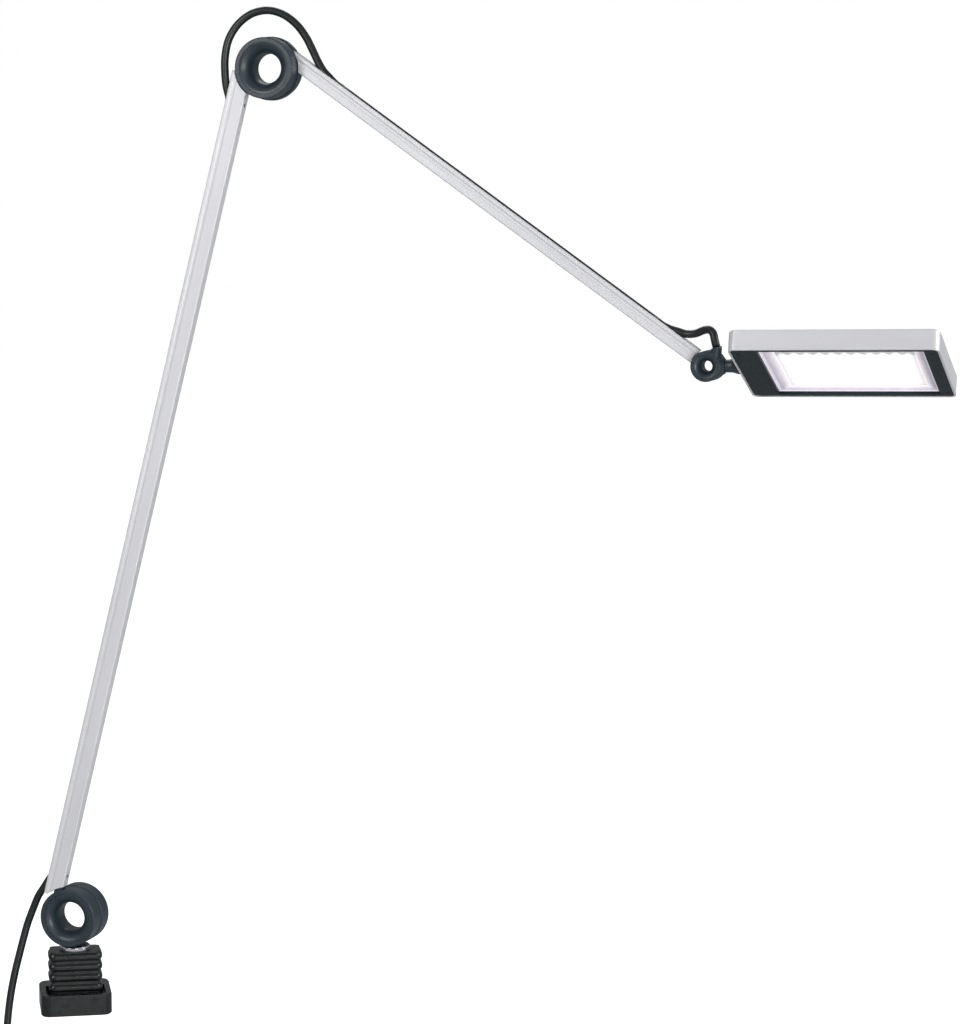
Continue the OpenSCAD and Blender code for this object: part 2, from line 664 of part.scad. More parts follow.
// Lower arm
module lower_spigot(z0, z1) spigot(lower_w, lower_out, lower_y, lower_proud, z0, z1);
module upper_spigot(z0, z1, y_from) spigot(upper_w, upper_out, upper_y, upper_proud, z0, z1, y_from);
module lower_ring_bottom() color(dark) difference() {
    union() {
        at_base_hub() front_ring();
        along_lower() lower_spigot(0, spigot_len);
    }
    at_base_hub() bar_y(bore_r, -hub_half - 1, front_web);
    at_base_hub() bar_y(axle_r + run_fit, -hub_half, 1);
}
module lower_ring_top() color(dark) difference() {
    union() {
        at_elbow() front_ring();
        along_lower() lower_spigot(lower_len - spigot_len, lower_len);
    }
    at_elbow() bar_y(bore_r, -hub_half - 1, front_web);
    at_elbow() bar_y(axle_r + run_fit, -hub_half, 1);
}
module lower_arm_tube() color(silver) along_lower() difference() {
    translate([0, 0, lower_tip_bottom]) linear_extrude(lower_len - lower_tip_top - lower_tip_bottom)
        arm_section(lower_w, lower_out, lower_y, lower_proud);
    bar_y(lower_end_r, -big, big);
    translate([0, 0, lower_len]) bar_y(lower_top_r, -big, big);
    for (z = [arm_screw_at + 4, lower_len - arm_screw_at - 4]) arm_screw_hole(lower_w, lower_out, lower_y, z);
}
module lower_arm_screws() color(steel) along_lower()
    for (z = [arm_screw_at + 4, lower_len - arm_screw_at - 4]) arm_screw(lower_w, lower_out, lower_y, z);

// Elbow
module elbow_ring() color(dark) difference() {
    union() {
        at_elbow() rear_ring(elbow_ring_r, bore_r + 1.6);
        along_upper() upper_spigot(0, spigot_len, split_t + 0.4);
    }
    at_elbow() bar_y(bore_r, rear_web, hub_half + 1);
    at_elbow() bar_y(axle_r + run_fit, 0, hub_half + 1);
    along_upper() difference() {
        translate([0, 0, 0]) linear_extrude(big) polygon(rounded(
            -upper_out - 3, -upper_out + upper_w + seat_gap, upper_y - arm_t / 2 - seat_gap,
            upper_y + arm_t / 2 + seat_gap, 0.5));
        upper_spigot(-1, spigot_len + 1, -big);
        bar_y(upper_end_r - seat_gap, -big, big);
    }
}
module elbow_axle() color(dark) at_elbow() hollow_axle();
module elbow_axle_nut() color(dark) at_elbow() axle_nut();
module elbow_friction_washer() color(black) at_elbow() friction_washer();
module elbow_disc_spring() color(steel) at_elbow() disc_spring();

// Upper arm
module upper_arm_tube() color(silver) along_upper() difference() {
    translate([0, 0, 6]) linear_extrude(upper_run - 12) arm_section(upper_w, upper_out, upper_y, upper_proud);
    bar_y(upper_end_r, -big, big);
    translate([-upper_off, 0, upper_run]) bar_y(small_end_r, -big, big);
    for (z = [arm_screw_at + 2, upper_run - arm_screw_at + 4]) arm_screw_hole(upper_w, upper_out, upper_y, z);
}
module upper_arm_screws() color(steel) along_upper()
    for (z = [arm_screw_at + 2, upper_run - arm_screw_at + 4]) arm_screw(upper_w, upper_out, upper_y, z);

// Small hub
module head_ring() color(dark) difference() {
    union() {
        at_head_hub() spin([
            [small_axle_r + run_fit, small_ring_y], [small_r - rim_chamfer, small_ring_y],
            [small_r, small_ring_y + rim_chamfer], [small_r, small_rear - rim_chamfer],
            [small_r - rim_chamfer, small_rear], [small_bore_r, small_rear], [small_bore_r, small_web_end],
            [small_axle_r + run_fit, small_web_end],
        ]);
        along_upper() upper_spigot(upper_run - spigot_len, upper_run - 6, small_ring_y + 0.2);
    }
    at_head_hub() bar_y(small_bore_r, small_web_end, small_rear + 1);
    at_head_hub() bar_y(small_axle_r + run_fit, 0, small_rear);
}
module head_knuckle() color(dark) at_head_hub() difference() {
    union() {
        hull() {
            bar_y(small_r - rim_chamfer, small_front, small_mid, small_fn);
            bar_y(small_r, small_front + rim_chamfer, small_mid - rim_chamfer, small_fn);
            on_neck() bar_x(6.2, neck_socket - 1, neck_socket);
        }
        hull() {
            translate(boss_at) rotate([0, -boss_tilt, 0]) translate([0, 0, -1])
                cylinder(r = boss_r, h = 1, $fn = small_fn);
            translate(boss_root) sphere(r = boss_r + 0.6, $fn = small_fn);
        }
    }
    bar_y(small_bore_r, small_front - 1, small_front + small_flange_t);
    bar_y(small_axle_r + run_fit, small_front, small_mid + 1);
    block(-big, big, small_mid, big, -big, big);
    on_neck() bar_x(neck_r + run_fit, neck_start - 1.5, neck_socket + 1);
    on_neck() translate([neck_socket - 4, 0, -small_r]) cylinder(r = 1.5, h = small_r, $fn = small_fn);
}
module head_axle() color(dark) at_head_hub() {
    front = horn([small_throat_r, small_front + 0.3 + small_horn_front], [small_lip_r, small_front + 0.3]);
    rear0 = small_rear - 0.3 - small_horn_rear;
    back = horn([small_throat_r, rear0], [small_lip_r, small_rear - 0.3], (small_tube_end - rear0) / small_horn_rear);
    spin(concat(
        back, [[small_axle_r, small_tube_end], [small_axle_r, small_front + small_flange_t]],
        [[small_lip_r + seat_gap, small_front + small_flange_t], [small_lip_r + seat_gap, small_front + 0.3]],
        backwards(front)
    ));
}
module head_axle_nut() color(dark) at_head_hub() {
    rear0 = small_rear - 0.3 - small_horn_rear;
    share = (small_tube_end + seat_gap - rear0) / small_horn_rear;
    all = [
        for (i = [0:horn_steps])
            let (t = asin(share) + (90 - asin(share)) * i / horn_steps)
                [small_throat_r + (small_lip_r - small_throat_r) * (1 - cos(t)), rear0 + small_horn_rear * sin(t)]
    ];
    spin(concat(
        all, [[small_lip_r + seat_gap, small_rear - 0.3], [small_lip_r + seat_gap, small_nut_y]],
        [[small_axle_r + run_fit, small_nut_y], [small_axle_r + run_fit, small_tube_end + seat_gap]]
    ));
}
module head_friction_washer() color(black) at_head_hub() spin([
    [small_axle_r + 0.3, small_mid], [small_r - 1.6, small_mid], [small_r - 1.6, small_ring_y],
    [small_axle_r + 0.3, small_ring_y],
]);
module head_disc_spring() color(steel) at_head_hub() {
    leaf = 0.4;
    spin([
        [small_axle_r + 0.4, small_nut_y - leaf], [small_axle_r + 0.4, small_nut_y],
        [small_bore_r - 0.8, small_web_end + leaf], [small_bore_r - 0.8, small_web_end],
    ]);
}
module neck_swivel() color(dark) in_head() {
    rotate([0, 90, 0]) rotate_extrude($fn = round_fn) polygon([
        [0, neck_start], [neck_r, neck_start], [neck_r, neck_socket - 5.6], [neck_r - 0.8, neck_socket - 5.6],
        [neck_r - 0.8, neck_socket - 2.4], [neck_r, neck_socket - 2.4], [neck_r, neck_socket + 0.3],
        [neck_collar_r, neck_socket + 0.3], [neck_collar_r, neck_socket + 3], [0, neck_socket + 3],
    ]);
    bar_x(neck_tip_r, neck_socket + 3, head_x0 + head_wall + neck_nut_t + 1);
    hull() {
        bar_x(neck_collar_r, neck_socket + 2.8, neck_socket + 3);
        translate([0, 0, head_mid_z * 0.2]) bar_x(neck_collar_r + 0.4, neck_socket + 6, neck_socket + 6.2);
    }
    hull() {
        translate([0, 0, head_mid_z * 0.2]) bar_x(neck_collar_r + 0.4, neck_socket + 6, neck_socket + 6.2);
        translate([0, 0, head_mid_z]) bar_x(neck_flare_r, head_x0 - 2, head_x0 - 0.8);
    }
    translate([0, 0, head_mid_z]) bar_x(neck_flare_r, head_x0 - 0.8, head_x0);
}
module neck_nut() color(steel) in_head() difference() {
    rotate([30, 0, 0]) bar_x(neck_nut_r, head_x0 + head_wall, head_x0 + head_wall + neck_nut_t, 6);
    bar_x(neck_tip_r + run_fit, head_x0, head_x0 + 8);
}
module neck_grub_screw() color(steel) at_head_hub() on_neck() translate([neck_socket - 4, 0, 0]) difference() {
    translate([0, 0, -7.4]) cylinder(r = 1.5 - run_fit, h = 7.4 - neck_r + 0.7, $fn = small_fn);
    translate([0, 0, -8.4]) cylinder(r = 0.8, h = 2.4, $fn = 6);
}

// Head pieces
module head_housing() color(silver) in_head() difference() {
    union() {
        slab(head_x0, head_x1, -head_w / 2, head_w / 2, head_z0, head_z1 - 1, head_corner);
        slab(head_x0 + 1, head_x1 - 1, -head_w / 2 + 1, head_w / 2 - 1, head_z1 - 1, head_z1, head_corner - 1);
    }
    slab(head_x0 + head_wall, head_x1 - head_wall, -head_w / 2 + head_wall, head_w / 2 - head_wall,
         head_z0 - 1, head_z1 - housing_top, head_corner - head_wall);
    bar_x(neck_tip_r + seat_gap, head_x0 - 1, head_x0 + head_wall + 1);
    translate([button_x, 0, 0]) cylinder(r = button_r + 0.3, h = big, $fn = round_fn);
}
module heat_spreader() color(steel) in_head()
    slab(win_x0 + 2, head_x1 - head_wall - 2, -head_w / 2 + 6, head_w / 2 - 6,
         head_z1 - housing_top - spreader_t, head_z1 - housing_top, 2);
module led_board() color([0.9, 0.9, 0.88]) in_head()
    slab(floor_x0 - 2, floor_x1 + 2, -floor_y - 2, floor_y + 2, board_z, board_z + board_t, 1);
module led_chips() color([0.95, 0.9, 0.6]) in_head()
    for (i = [0:leds_long - 1]) for (k = [0:leds_wide - 1])
        translate([
            floor_x0 + (floor_x1 - floor_x0) * (i + 0.5) / leds_long - led_size / 2,
            -floor_y + 2 * floor_y * (k + 0.5) / leds_wide - led_size / 2, board_z - led_h,
        ]) cube([led_size, led_size, led_h]);
module driver_board() color([0.2, 0.4, 0.3]) in_head() {
    x0 = head_x0 + head_wall + 1.5;
    x1 = win_x0 - 3.5;
    z = well_z0 + 0.3;
    inner = 11;
    long = head_w / 2 - inner - 17;
    for (s = [-1, 1]) {
        y0 = s > 0 ? inner : -inner - long;
        block(x0, x1, y0, y0 + long, z, z + board_t);
        block(x0 + 3, x1 - 4, y0 + 3, y0 + 15, z + board_t, z + board_t + 6);
        block(x0 + 2, x1 - 6, y0 + 18, y0 + 26, z + board_t, z + board_t + 4);
    }
}
module light_well() color([0.92, 0.92, 0.94]) in_head() difference() {
    union() {
        hull() {
            block(win_x0 - well_wall, win_x1 + well_wall, -win_y - well_wall, win_y + well_wall, well_z0, well_z0 + 0.2);
            block(floor_x0 - well_wall, floor_x1 + well_wall, -floor_y - well_wall, floor_y + well_wall,
                  well_z1 + diffuser_t - 0.2, well_z1 + diffuser_t);
        }
        block(win_x0 - 3, win_x1 + 3, -win_y - 2, win_y + 2, well_z0, well_z0 + 0.8);
    }
    hull() {
        block(win_x0, win_x1, -win_y, win_y, well_z0 - 0.1, well_z0);
        block(floor_x0, floor_x1, -floor_y, floor_y, well_z1, well_z1 + 0.1);
    }
    block(floor_x0, floor_x1, -floor_y, floor_y, well_z1, well_z1 + diffuser_t + 1);
}
module diffuser() color([0.98, 0.98, 0.96]) in_head()
    block(floor_x0 + seat_gap, floor_x1 - seat_gap, -floor_y + seat_gap, floor_y - seat_gap,
          well_z1 + 0.2, well_z1 + diffuser_t);
module bezel_frame() color(dark) in_head() difference() {
    slab(head_x0 + head_wall + seat_gap, head_x1 - head_wall - seat_gap, -head_w / 2 + head_wall + seat_gap,
         head_w / 2 - head_wall - seat_gap, head_z0 + bezel_inset, well_z0, head_corner - head_wall);
    block(win_x0, win_x1, -win_y, win_y, head_z0, well_z0 + 1);
    block(head_x0, head_x0 + head_wall + neck_nut_t + 1.5, -neck_nut_r - 0.5, neck_nut_r + 0.5,
          -neck_nut_r, well_z0 + 1);
    for (x = [head_x0 + 7, head_x1 - 6]) for (s = [-1, 1])
        translate([x, s * (head_w / 2 - 12), head_z0]) cylinder(r = 1.3, h = 5, $fn = small_fn);
}
module bezel_screws() color(steel) in_head() for (x = [head_x0 + 7, head_x1 - 6]) for (s = [-1, 1])
    translate([x, s * (head_w / 2 - 12), 0]) {
        translate([0, 0, well_z0]) cylinder(r = 2.4, h = 1.2, $fn = small_fn);
        translate([0, 0, head_z0 + bezel_inset + 0.2]) cylinder(r = 1.25, h = bezel_t, $fn = small_fn);
    }
module switch_button() color(dark) in_head() translate([button_x, 0, 0]) {
    translate([0, 0, head_z1 - housing_top - 1.2]) cylinder(r = button_r + 1, h = 1.2, $fn = round_fn);
    translate([0, 0, head_z1 - housing_top]) cylinder(r = button_r, h = housing_top + 1, $fn = round_fn);
    translate([0, 0, head_z1 + 1]) cylinder(r = button_r - 0.8, h = 0.4, $fn = round_fn);
}
module switch_body() color(black) in_head() {
    top = head_z1 - housing_top - 1.2 - button_travel - 0.3;
    block(button_x - 6, button_x + 6, -6, 6, well_z0 + 0.2, top);
}

// Cord pieces
module cord_lower_run() color(black) at_base_hub()
    cord_tube([lower_groove(lower_run_start), lower_groove(lower_run_end)], lower_dir, lower_dir);
module cord_upper_run() color(black) at_elbow()
    cord_tube([upper_groove(upper_run_start), upper_groove(upper_run_end)], upper_dir, upper_dir);
module cord_elbow_loop() color(black) at_elbow() cord_tube(elbow_route, lower_dir, upper_dir);
module cord_head_bend() color(black) at_head_hub() cord_tube(smooth(head_bend_route, 2), upper_dir, -boss_dir);
module cord_tail() color(black) at_base_hub() cord_tube(tail_route, -lower_dir, tail_dir);
module cord_drop() color(black) at_base_hub() cord_tube(drop_route, tail_dir, down);
module cord_coil() color(black) at_base_hub() cord_tube(coil_route, down, down, 6);
module cord_tie() color(black) at_base_hub() translate(coil_centre + [0, coil_step / 2, 0]) {
    slack = 0.4;
    band = 1.2;
    r0 = coil_in_r - cord_d / 2 - slack;
    r1 = max(coil_out_r, coil_top_r) + cord_d / 2 + slack;
    d = coil_step / 2 + cord_d / 2 + slack;
    difference() {
        block(-6, 6, -d - band, d + band, r0 - band, r1 + band);
        block(-7, 7, -d, d, r0 - 0.7, r1);
    }
}
module cord_plug_lead() color(black) at_base_hub() cord_tube([coil_end, plug_at], down, down);
module mains_plug() color(black) at_base_hub() translate(plug_at) {
    hull() {
        translate([0, 0, -2]) cylinder(r = 4.5, h = 2, $fn = small_fn);
        translate([0, 0, -14]) scale_box(16, 11, 2);
    }
    hull() {
        translate([0, 0, -16]) scale_box(22, 12.5, 2);
        translate([0, 0, -36]) scale_box(35, 13.5, 2);
    }
    hull() {
        translate([0, 0, -14]) scale_box(16, 11, 1);
        translate([0, 0, -16]) scale_box(22, 12.5, 1);
    }
}
module scale_box(w, d, h) translate([-w / 2, -d / 2, 0]) cube([w, d, h]);
module plug_pins() color(chrome) at_base_hub() translate(plug_at)
    for (s = [-1, 1]) translate([s * 9.5, 0, -36 - 19]) cylinder(r = 2, h = 19, $fn = small_fn);

clamp_column();
upper_jaw_pad();
lower_jaw();
screw_insert();
clamp_screw();
pressure_pad();
column_end_plate();
end_plate_screws();
swivel_bush();
swivel_collar();
swivel_clip();
base_knuckle();
base_axle();
base_axle_nut();
base_friction_washer();
base_disc_spring();
lower_ring_bottom();
lower_arm_tube();
lower_arm_screws();
lower_ring_top();
elbow_ring();
elbow_axle();
elbow_axle_nut();
elbow_friction_washer();
elbow_disc_spring();
upper_arm_tube();
upper_arm_screws();
head_ring();
head_knuckle();
head_axle();
head_axle_nut();
head_friction_washer();
head_disc_spring();
neck_swivel();
neck_nut();
neck_grub_screw();
head_housing();
heat_spreader();
led_board();
led_chips();
driver_board();
light_well();
diffuser();
bezel_frame();
bezel_screws();
switch_button();
switch_body();
cord_lower_run();
cord_elbow_loop();
cord_upper_run();
cord_head_bend();
cord_tail();
cord_drop();
cord_coil();
cord_tie();
cord_plug_lead();
mains_plug();
plug_pins();
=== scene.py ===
"""Looks of a desk-clamp task lamp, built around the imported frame.

The arms stand in one upright plane: ARM_X runs along it and HUB_Y along the hubs' axes.
Lengths of the cord and the small pieces are written in millimetres and turned into
metres by at() or by MM.
"""
import json
import math

import bpy
from mathutils import Matrix, Vector


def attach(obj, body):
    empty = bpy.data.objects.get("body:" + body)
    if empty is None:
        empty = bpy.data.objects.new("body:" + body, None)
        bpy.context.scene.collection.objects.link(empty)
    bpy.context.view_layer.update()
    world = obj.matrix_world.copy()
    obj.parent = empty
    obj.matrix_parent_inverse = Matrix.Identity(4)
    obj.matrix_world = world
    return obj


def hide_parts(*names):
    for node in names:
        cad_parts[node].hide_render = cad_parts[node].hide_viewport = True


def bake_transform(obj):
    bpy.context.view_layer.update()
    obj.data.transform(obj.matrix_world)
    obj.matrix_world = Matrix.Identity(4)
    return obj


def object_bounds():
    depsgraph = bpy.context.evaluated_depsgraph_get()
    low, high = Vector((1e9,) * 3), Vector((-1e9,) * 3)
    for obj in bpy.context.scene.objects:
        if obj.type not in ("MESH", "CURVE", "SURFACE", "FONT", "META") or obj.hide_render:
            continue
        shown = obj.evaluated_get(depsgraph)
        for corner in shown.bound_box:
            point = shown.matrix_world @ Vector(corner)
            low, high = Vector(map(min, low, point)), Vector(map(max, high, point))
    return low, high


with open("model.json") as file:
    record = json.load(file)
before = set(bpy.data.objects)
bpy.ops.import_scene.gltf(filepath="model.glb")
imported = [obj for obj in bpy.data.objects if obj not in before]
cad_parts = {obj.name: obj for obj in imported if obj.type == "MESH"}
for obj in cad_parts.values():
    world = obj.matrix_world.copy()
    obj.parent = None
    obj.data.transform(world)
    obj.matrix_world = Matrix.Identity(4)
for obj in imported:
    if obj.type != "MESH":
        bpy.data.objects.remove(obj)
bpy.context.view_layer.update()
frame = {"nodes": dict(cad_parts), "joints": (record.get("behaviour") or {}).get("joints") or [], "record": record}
scene = bpy.context.scene
nodes = frame["nodes"]
joints = {joint["name"]: joint for joint in frame["joints"]}

MM = 0.001
UP = Vector((0, 0, 1))
BASE_HUB = Vector(joints["base_tilt"]["pos_m"])
ELBOW_HUB = Vector(joints["elbow"]["pos_m"])
HEAD_HUB = Vector(joints["head_tilt"]["pos_m"])
HUB_Y = Vector(joints["elbow"]["axis"]).normalized()
ARM_X = HUB_Y.cross(UP)


def at(hub, point):
    """World place of a point given in millimetres from a hub, in the arms' plane."""
    x, y, z = point
    return hub + (x * ARM_X + y * HUB_Y + z * UP) * MM


# ---------------------------------------------------------------- camera
CAMERA_AT = Vector((-0.1267, -2.6784, 0.6800))
CAMERA_AIM = Vector((0.3282, -0.1601, 0.4083))
CAMERA_LENS = 117.35
SENSOR_WIDTH = 36


def add_camera():
    data = bpy.data.cameras.new("camera")
    data.lens = CAMERA_LENS
    data.sensor_width = SENSOR_WIDTH
    data.sensor_fit = "HORIZONTAL"
    camera = bpy.data.objects.new("camera", data)
    camera.location = CAMERA_AT
    camera.rotation_euler = (CAMERA_AIM - CAMERA_AT).to_track_quat("-Z", "Y").to_euler()
    scene.collection.objects.link(camera)
    scene.camera = camera


add_camera()

# ---------------------------------------------------------------- mesh tools
TUBE_SIDES = 18
ROUTE_SPACING = 2.5 * MM


def new_mesh(name, points, faces, flat):
    """A mesh piece; the faces whose numbers are in flat stay flat, the others are smooth."""
    mesh = bpy.data.meshes.new(name)
    mesh.from_pydata([tuple(point) for point in points], [], faces)
    for number, polygon in enumerate(mesh.polygons):
        polygon.use_smooth = number not in flat
    mesh.validate()
    piece = bpy.data.objects.new(name, mesh)
    scene.collection.objects.link(piece)
    return piece


def loft(name, rings, closed=False):
    """Skins a row of rings with the same number of points; an open row gets end caps."""
    sides, count = len(rings[0]), len(rings)
    points = [point for ring in rings for point in ring]
    faces = []
    for i in range(count if closed else count - 1):
        a, b = i * sides, (i + 1) % count * sides
        for k in range(sides):
            n = (k + 1) % sides
            faces.append((a + k, a + n, b + n, b + k))
    flat = set()
    if not closed:
        flat = {len(faces), len(faces) + 1}
        faces.append(tuple(reversed(range(sides))))
        faces.append(tuple(range((count - 1) * sides, count * sides)))
    return new_mesh(name, points, faces, flat)


def tube(name, path, radius, start_dir=None, end_dir=None):
    """A round tube along a path of points; radius is one number, or one for each point."""
    last = len(path) - 1
    radii = radius if isinstance(radius, list) else [radius] * len(path)
    ways = [(path[min(i + 1, last)] - path[max(i - 1, 0)]).normalized() for i in range(last + 1)]
    ways[0] = start_dir.normalized() if start_dir else ways[0]
    ways[last] = end_dir.normalized() if end_dir else ways[last]
    side = ways[0].cross(HUB_Y).normalized()
    rings = []
    for i, way in enumerate(ways):
        if i:
            side = ways[i - 1].rotation_difference(way) @ side
        side = (side - way * side.dot(way)).normalized()
        across = way.cross(side)
        rings.append([
            path[i] + radii[i] * (math.cos(turn) * side + math.sin(turn) * across)
            for turn in (2 * math.pi * k / TUBE_SIDES for k in range(TUBE_SIDES))
        ])
    return loft(name, rings)


def smooth(points, start_dir, end_dir):
    """A smooth curve through the points, with a new point about every ROUTE_SPACING metres."""
    last = len(points) - 1
    gaps = [(points[i + 1] - points[i]).length for i in range(last)]
    slopes = []
    for i in range(1, last):
        before = (points[i] - points[i - 1]) / gaps[i - 1]
        after = (points[i + 1] - points[i]) / gaps[i]
        slopes.append((before * gaps[i] + after * gaps[i - 1]) / (gaps[i - 1] + gaps[i]))
    slopes = [start_dir.normalized()] + slopes + [end_dir.normalized()]
    curve = []
    for i in range(last):
        steps = max(1, round(gaps[i] / ROUTE_SPACING))
        for k in range(steps):
            t = k / steps
            curve.append(
                (2 * t ** 3 - 3 * t ** 2 + 1) * points[i] + (3 * t ** 2 - 2 * t ** 3) * points[i + 1]
                + gaps[i] * ((t ** 3 - 2 * t ** 2 + t) * slopes[i] + (t ** 3 - t ** 2) * slopes[i + 1])
            )
    return curve + [points[last]]


# ---------------------------------------------------------------- the cord
CORD_D = 6.4
CORD_RADIUS = CORD_D / 2 * MM
# Each arm: its length between hubs and its slope; then how far out from the hubs' centres its
# outer face lies, how far the cord stands proud of that face, and the groove's place along HUB_Y
LOWER_LEN, LOWER_LEAN = 745, math.radians(14.3)
LOWER_OUT, LOWER_PROUD, LOWER_Y = 26.6, -0.4, -9.25
UPPER_LEN, UPPER_DROP = 440, math.radians(32.9)
UPPER_OUT, UPPER_PROUD, UPPER_Y = 24, 1, 2.25
UPPER_WIDTH = 12.5
LOWER_CORD_R = LOWER_OUT - CORD_D / 2 + LOWER_PROUD
UPPER_CORD_R = UPPER_OUT - CORD_D / 2 + UPPER_PROUD
UPPER_OFF = UPPER_OUT - UPPER_WIDTH / 2
UPPER_ANGLE = UPPER_DROP + math.asin(UPPER_OFF / UPPER_LEN)
UPPER_RUN = math.sqrt(UPPER_LEN ** 2 - UPPER_OFF ** 2)
LOWER_WAY = (math.sin(LOWER_LEAN), math.cos(LOWER_LEAN))
UPPER_WAY = (math.cos(UPPER_ANGLE), -math.sin(UPPER_ANGLE))
LOWER_DIR = LOWER_WAY[0] * ARM_X + LOWER_WAY[1] * UP
UPPER_DIR = UPPER_WAY[0] * ARM_X + UPPER_WAY[1] * UP


def lower_groove(hub, s, out=0.0):
    """A point over the lower arm's groove: s along the arm from a hub, out from the cord's line."""
    r = LOWER_CORD_R + out
    x, z = LOWER_WAY
    return at(hub, (s * x - r * z, LOWER_Y, s * z + r * x))


def upper_groove(s, out=0.0):
    """A point over the upper arm's groove: s along the arm from the elbow, out from the cord's line."""
    r = UPPER_CORD_R + out
    x, z = UPPER_WAY
    return at(ELBOW_HUB, (s * x - r * z, UPPER_Y, s * z + r * x))


def places(hub, points):
    return [at(hub, point) for point in points]


LOWER_RUN_START, LOWER_RUN_END = 44, LOWER_LEN - 50
UPPER_RUN_START, UPPER_RUN_END = 60, UPPER_RUN - 56
BOSS_TILT = math.radians(14)
BOSS_AT = (8.2, -7.6, 15.4)
BOSS_DIR = -math.sin(BOSS_TILT) * ARM_X + math.cos(BOSS_TILT) * UP

elbow_route = [lower_groove(ELBOW_HUB, s, out) for s, out in ((-50, 0), (-42, 0), (-35.5, 1), (-30, 3))]
elbow_route += places(ELBOW_HUB, [
    (-34, -9.25, -17.5), (-35.2, -9.2, -11), (-35.8, -9.1, -3), (-35.8, -8.7, 9), (-32.3, -7.6, 24.9),
    (-24.2, -6, 37), (-12.7, -4.2, 45), (0, -2.4, 47.2), (12.3, -0.8, 43.8), (22.8, 0.8, 36),
    (31.2, 1.8, 25), (37.2, 2.2, 13.3), (41.6, 2.25, 4.4), (46, 2.25, -2.6), (50.6, 2.25, -7.4),
])
elbow_route += [upper_groove(53), upper_groove(UPPER_RUN_START)]
head_route = [upper_groove(UPPER_RUN_END + s, out) for s, out in ((0, 0), (7, 0), (14, 1.3))]
head_route += places(HEAD_HUB, [
    (-26, 2.25, 27.2), (-18.9, 2.2, 25.2), (-14.4, 1.6, 25.1), (-9.8, 0.4, 25.9), (-3.3, -2, 28.5),
    (1.1, -4, 29.2), (4.9, -6, 26.8), (6.6, -7.2, 21.3), BOSS_AT,
])
lead_route = [lower_groove(BASE_HUB, s, out) for s, out in ((LOWER_RUN_START, 0), (38, 0), (32, 1.2))]
lead_route += places(BASE_HUB, [
    (-19, -9.25, 32.2), (-22.4, -9.25, 27), (-25.4, -9.25, 22.6), (-28.5, -9.3, 18), (-33.6, -9.8, 6.6),
    (-36.1, -10.5, 0), (-38.4, -11.2, -6.4), (-41.8, -13.4, -19.8), (-44.9, -15.6, -33.6),
    (-47.9, -17.8, -47.6), (-50.4, -19.7, -61.5), (-52.2, -21.4, -75), (-53.4, -22.8, -88),
])

# The coil hangs from the lead: it spirals in on the front layer and out on the rear one
COIL_START = (-53.8, -23.6, -103)
COIL_D, COIL_TURNS, COIL_STEP = 74, 3.25, CORD_D + 0.8
# The part of a turn in which the cord steps from the front layer to the rear one
CLIMB_TURNS = 0.25
# The coil's angle, in degrees, at which the lead runs into it, and the step along that bend
LEAD_ANGLE, BEND_STEP = 60, 4
# The rear layer ends at the coil's right side, a quarter turn after it last passes the top
TOP_TO_END = 0.25
COIL_OUT_TURNS = 2 * math.floor(COIL_TURNS) + 1 + LEAD_ANGLE / 360 - COIL_TURNS - CLIMB_TURNS
COIL_OUT_R = COIL_D / 2 + COIL_TURNS * COIL_STEP / 2
COIL_IN_R = COIL_D / 2 - COIL_TURNS * COIL_STEP / 2
COIL_TOP_R = COIL_IN_R + COIL_STEP * (COIL_OUT_TURNS - TOP_TO_END)
COIL_CENTRE = (
    COIL_START[0], COIL_START[1],
    COIL_START[2] - 2 * COIL_OUT_R * math.cos(math.radians(90 - LEAD_ANGLE)))
COIL_RINGS = 48
END_STRAIGHT = 1.2 * CORD_D
PLUG_DROP, DROP_STEPS, CORD_IN_PLUG = 22, 6, 3


def coil_point(turn):
    """The cord's place after so many turns of the coil, from 30 degrees right of its top."""
    inwards, climb = min(turn, COIL_TURNS), min(max(turn - COIL_TURNS, 0), CLIMB_TURNS)
    outwards = max(turn - COIL_TURNS - CLIMB_TURNS, 0)
    r = COIL_OUT_R - (COIL_OUT_R - COIL_IN_R) * inwards / COIL_TURNS + COIL_STEP * outwards
    angle = math.radians(LEAD_ANGLE) - 2 * math.pi * turn
    x, y, z = COIL_CENTRE
    return x + r * math.cos(angle), y + COIL_STEP * climb / CLIMB_TURNS, z + r * math.sin(angle)


def lead_bend(angle):
    """The turn by which the lead runs into the coil."""
    turn = math.radians(angle)
    x, y, z = COIL_START
    return x + COIL_OUT_R * (1 - math.cos(turn)), y, z - COIL_OUT_R * math.sin(turn)


coil_last = round((COIL_TURNS + CLIMB_TURNS + COIL_OUT_TURNS) * COIL_RINGS)
coil_places = [coil_point(i / COIL_RINGS) for i in range(coil_last + 1)]
coil_end = coil_places[-1]
plug_at = at(BASE_HUB, (coil_end[0], coil_end[1], coil_end[2] - END_STRAIGHT - PLUG_DROP))
lead_path = smooth(
    lead_route + places(BASE_HUB, [
        (COIL_START[0], COIL_START[1], COIL_START[2] + END_STRAIGHT), COIL_START,
    ]), -LOWER_DIR, -UP)
lead_path += places(BASE_HUB, [lead_bend(angle) for angle in range(BEND_STEP, LEAD_ANGLE, BEND_STEP)])
lead_path += places(BASE_HUB, coil_places)
coil_foot = lead_path[-1]
lead_path += [coil_foot - UP * PLUG_DROP * MM * k / DROP_STEPS for k in range(1, DROP_STEPS)]
lead_path += [plug_at - UP * CORD_IN_PLUG * MM]


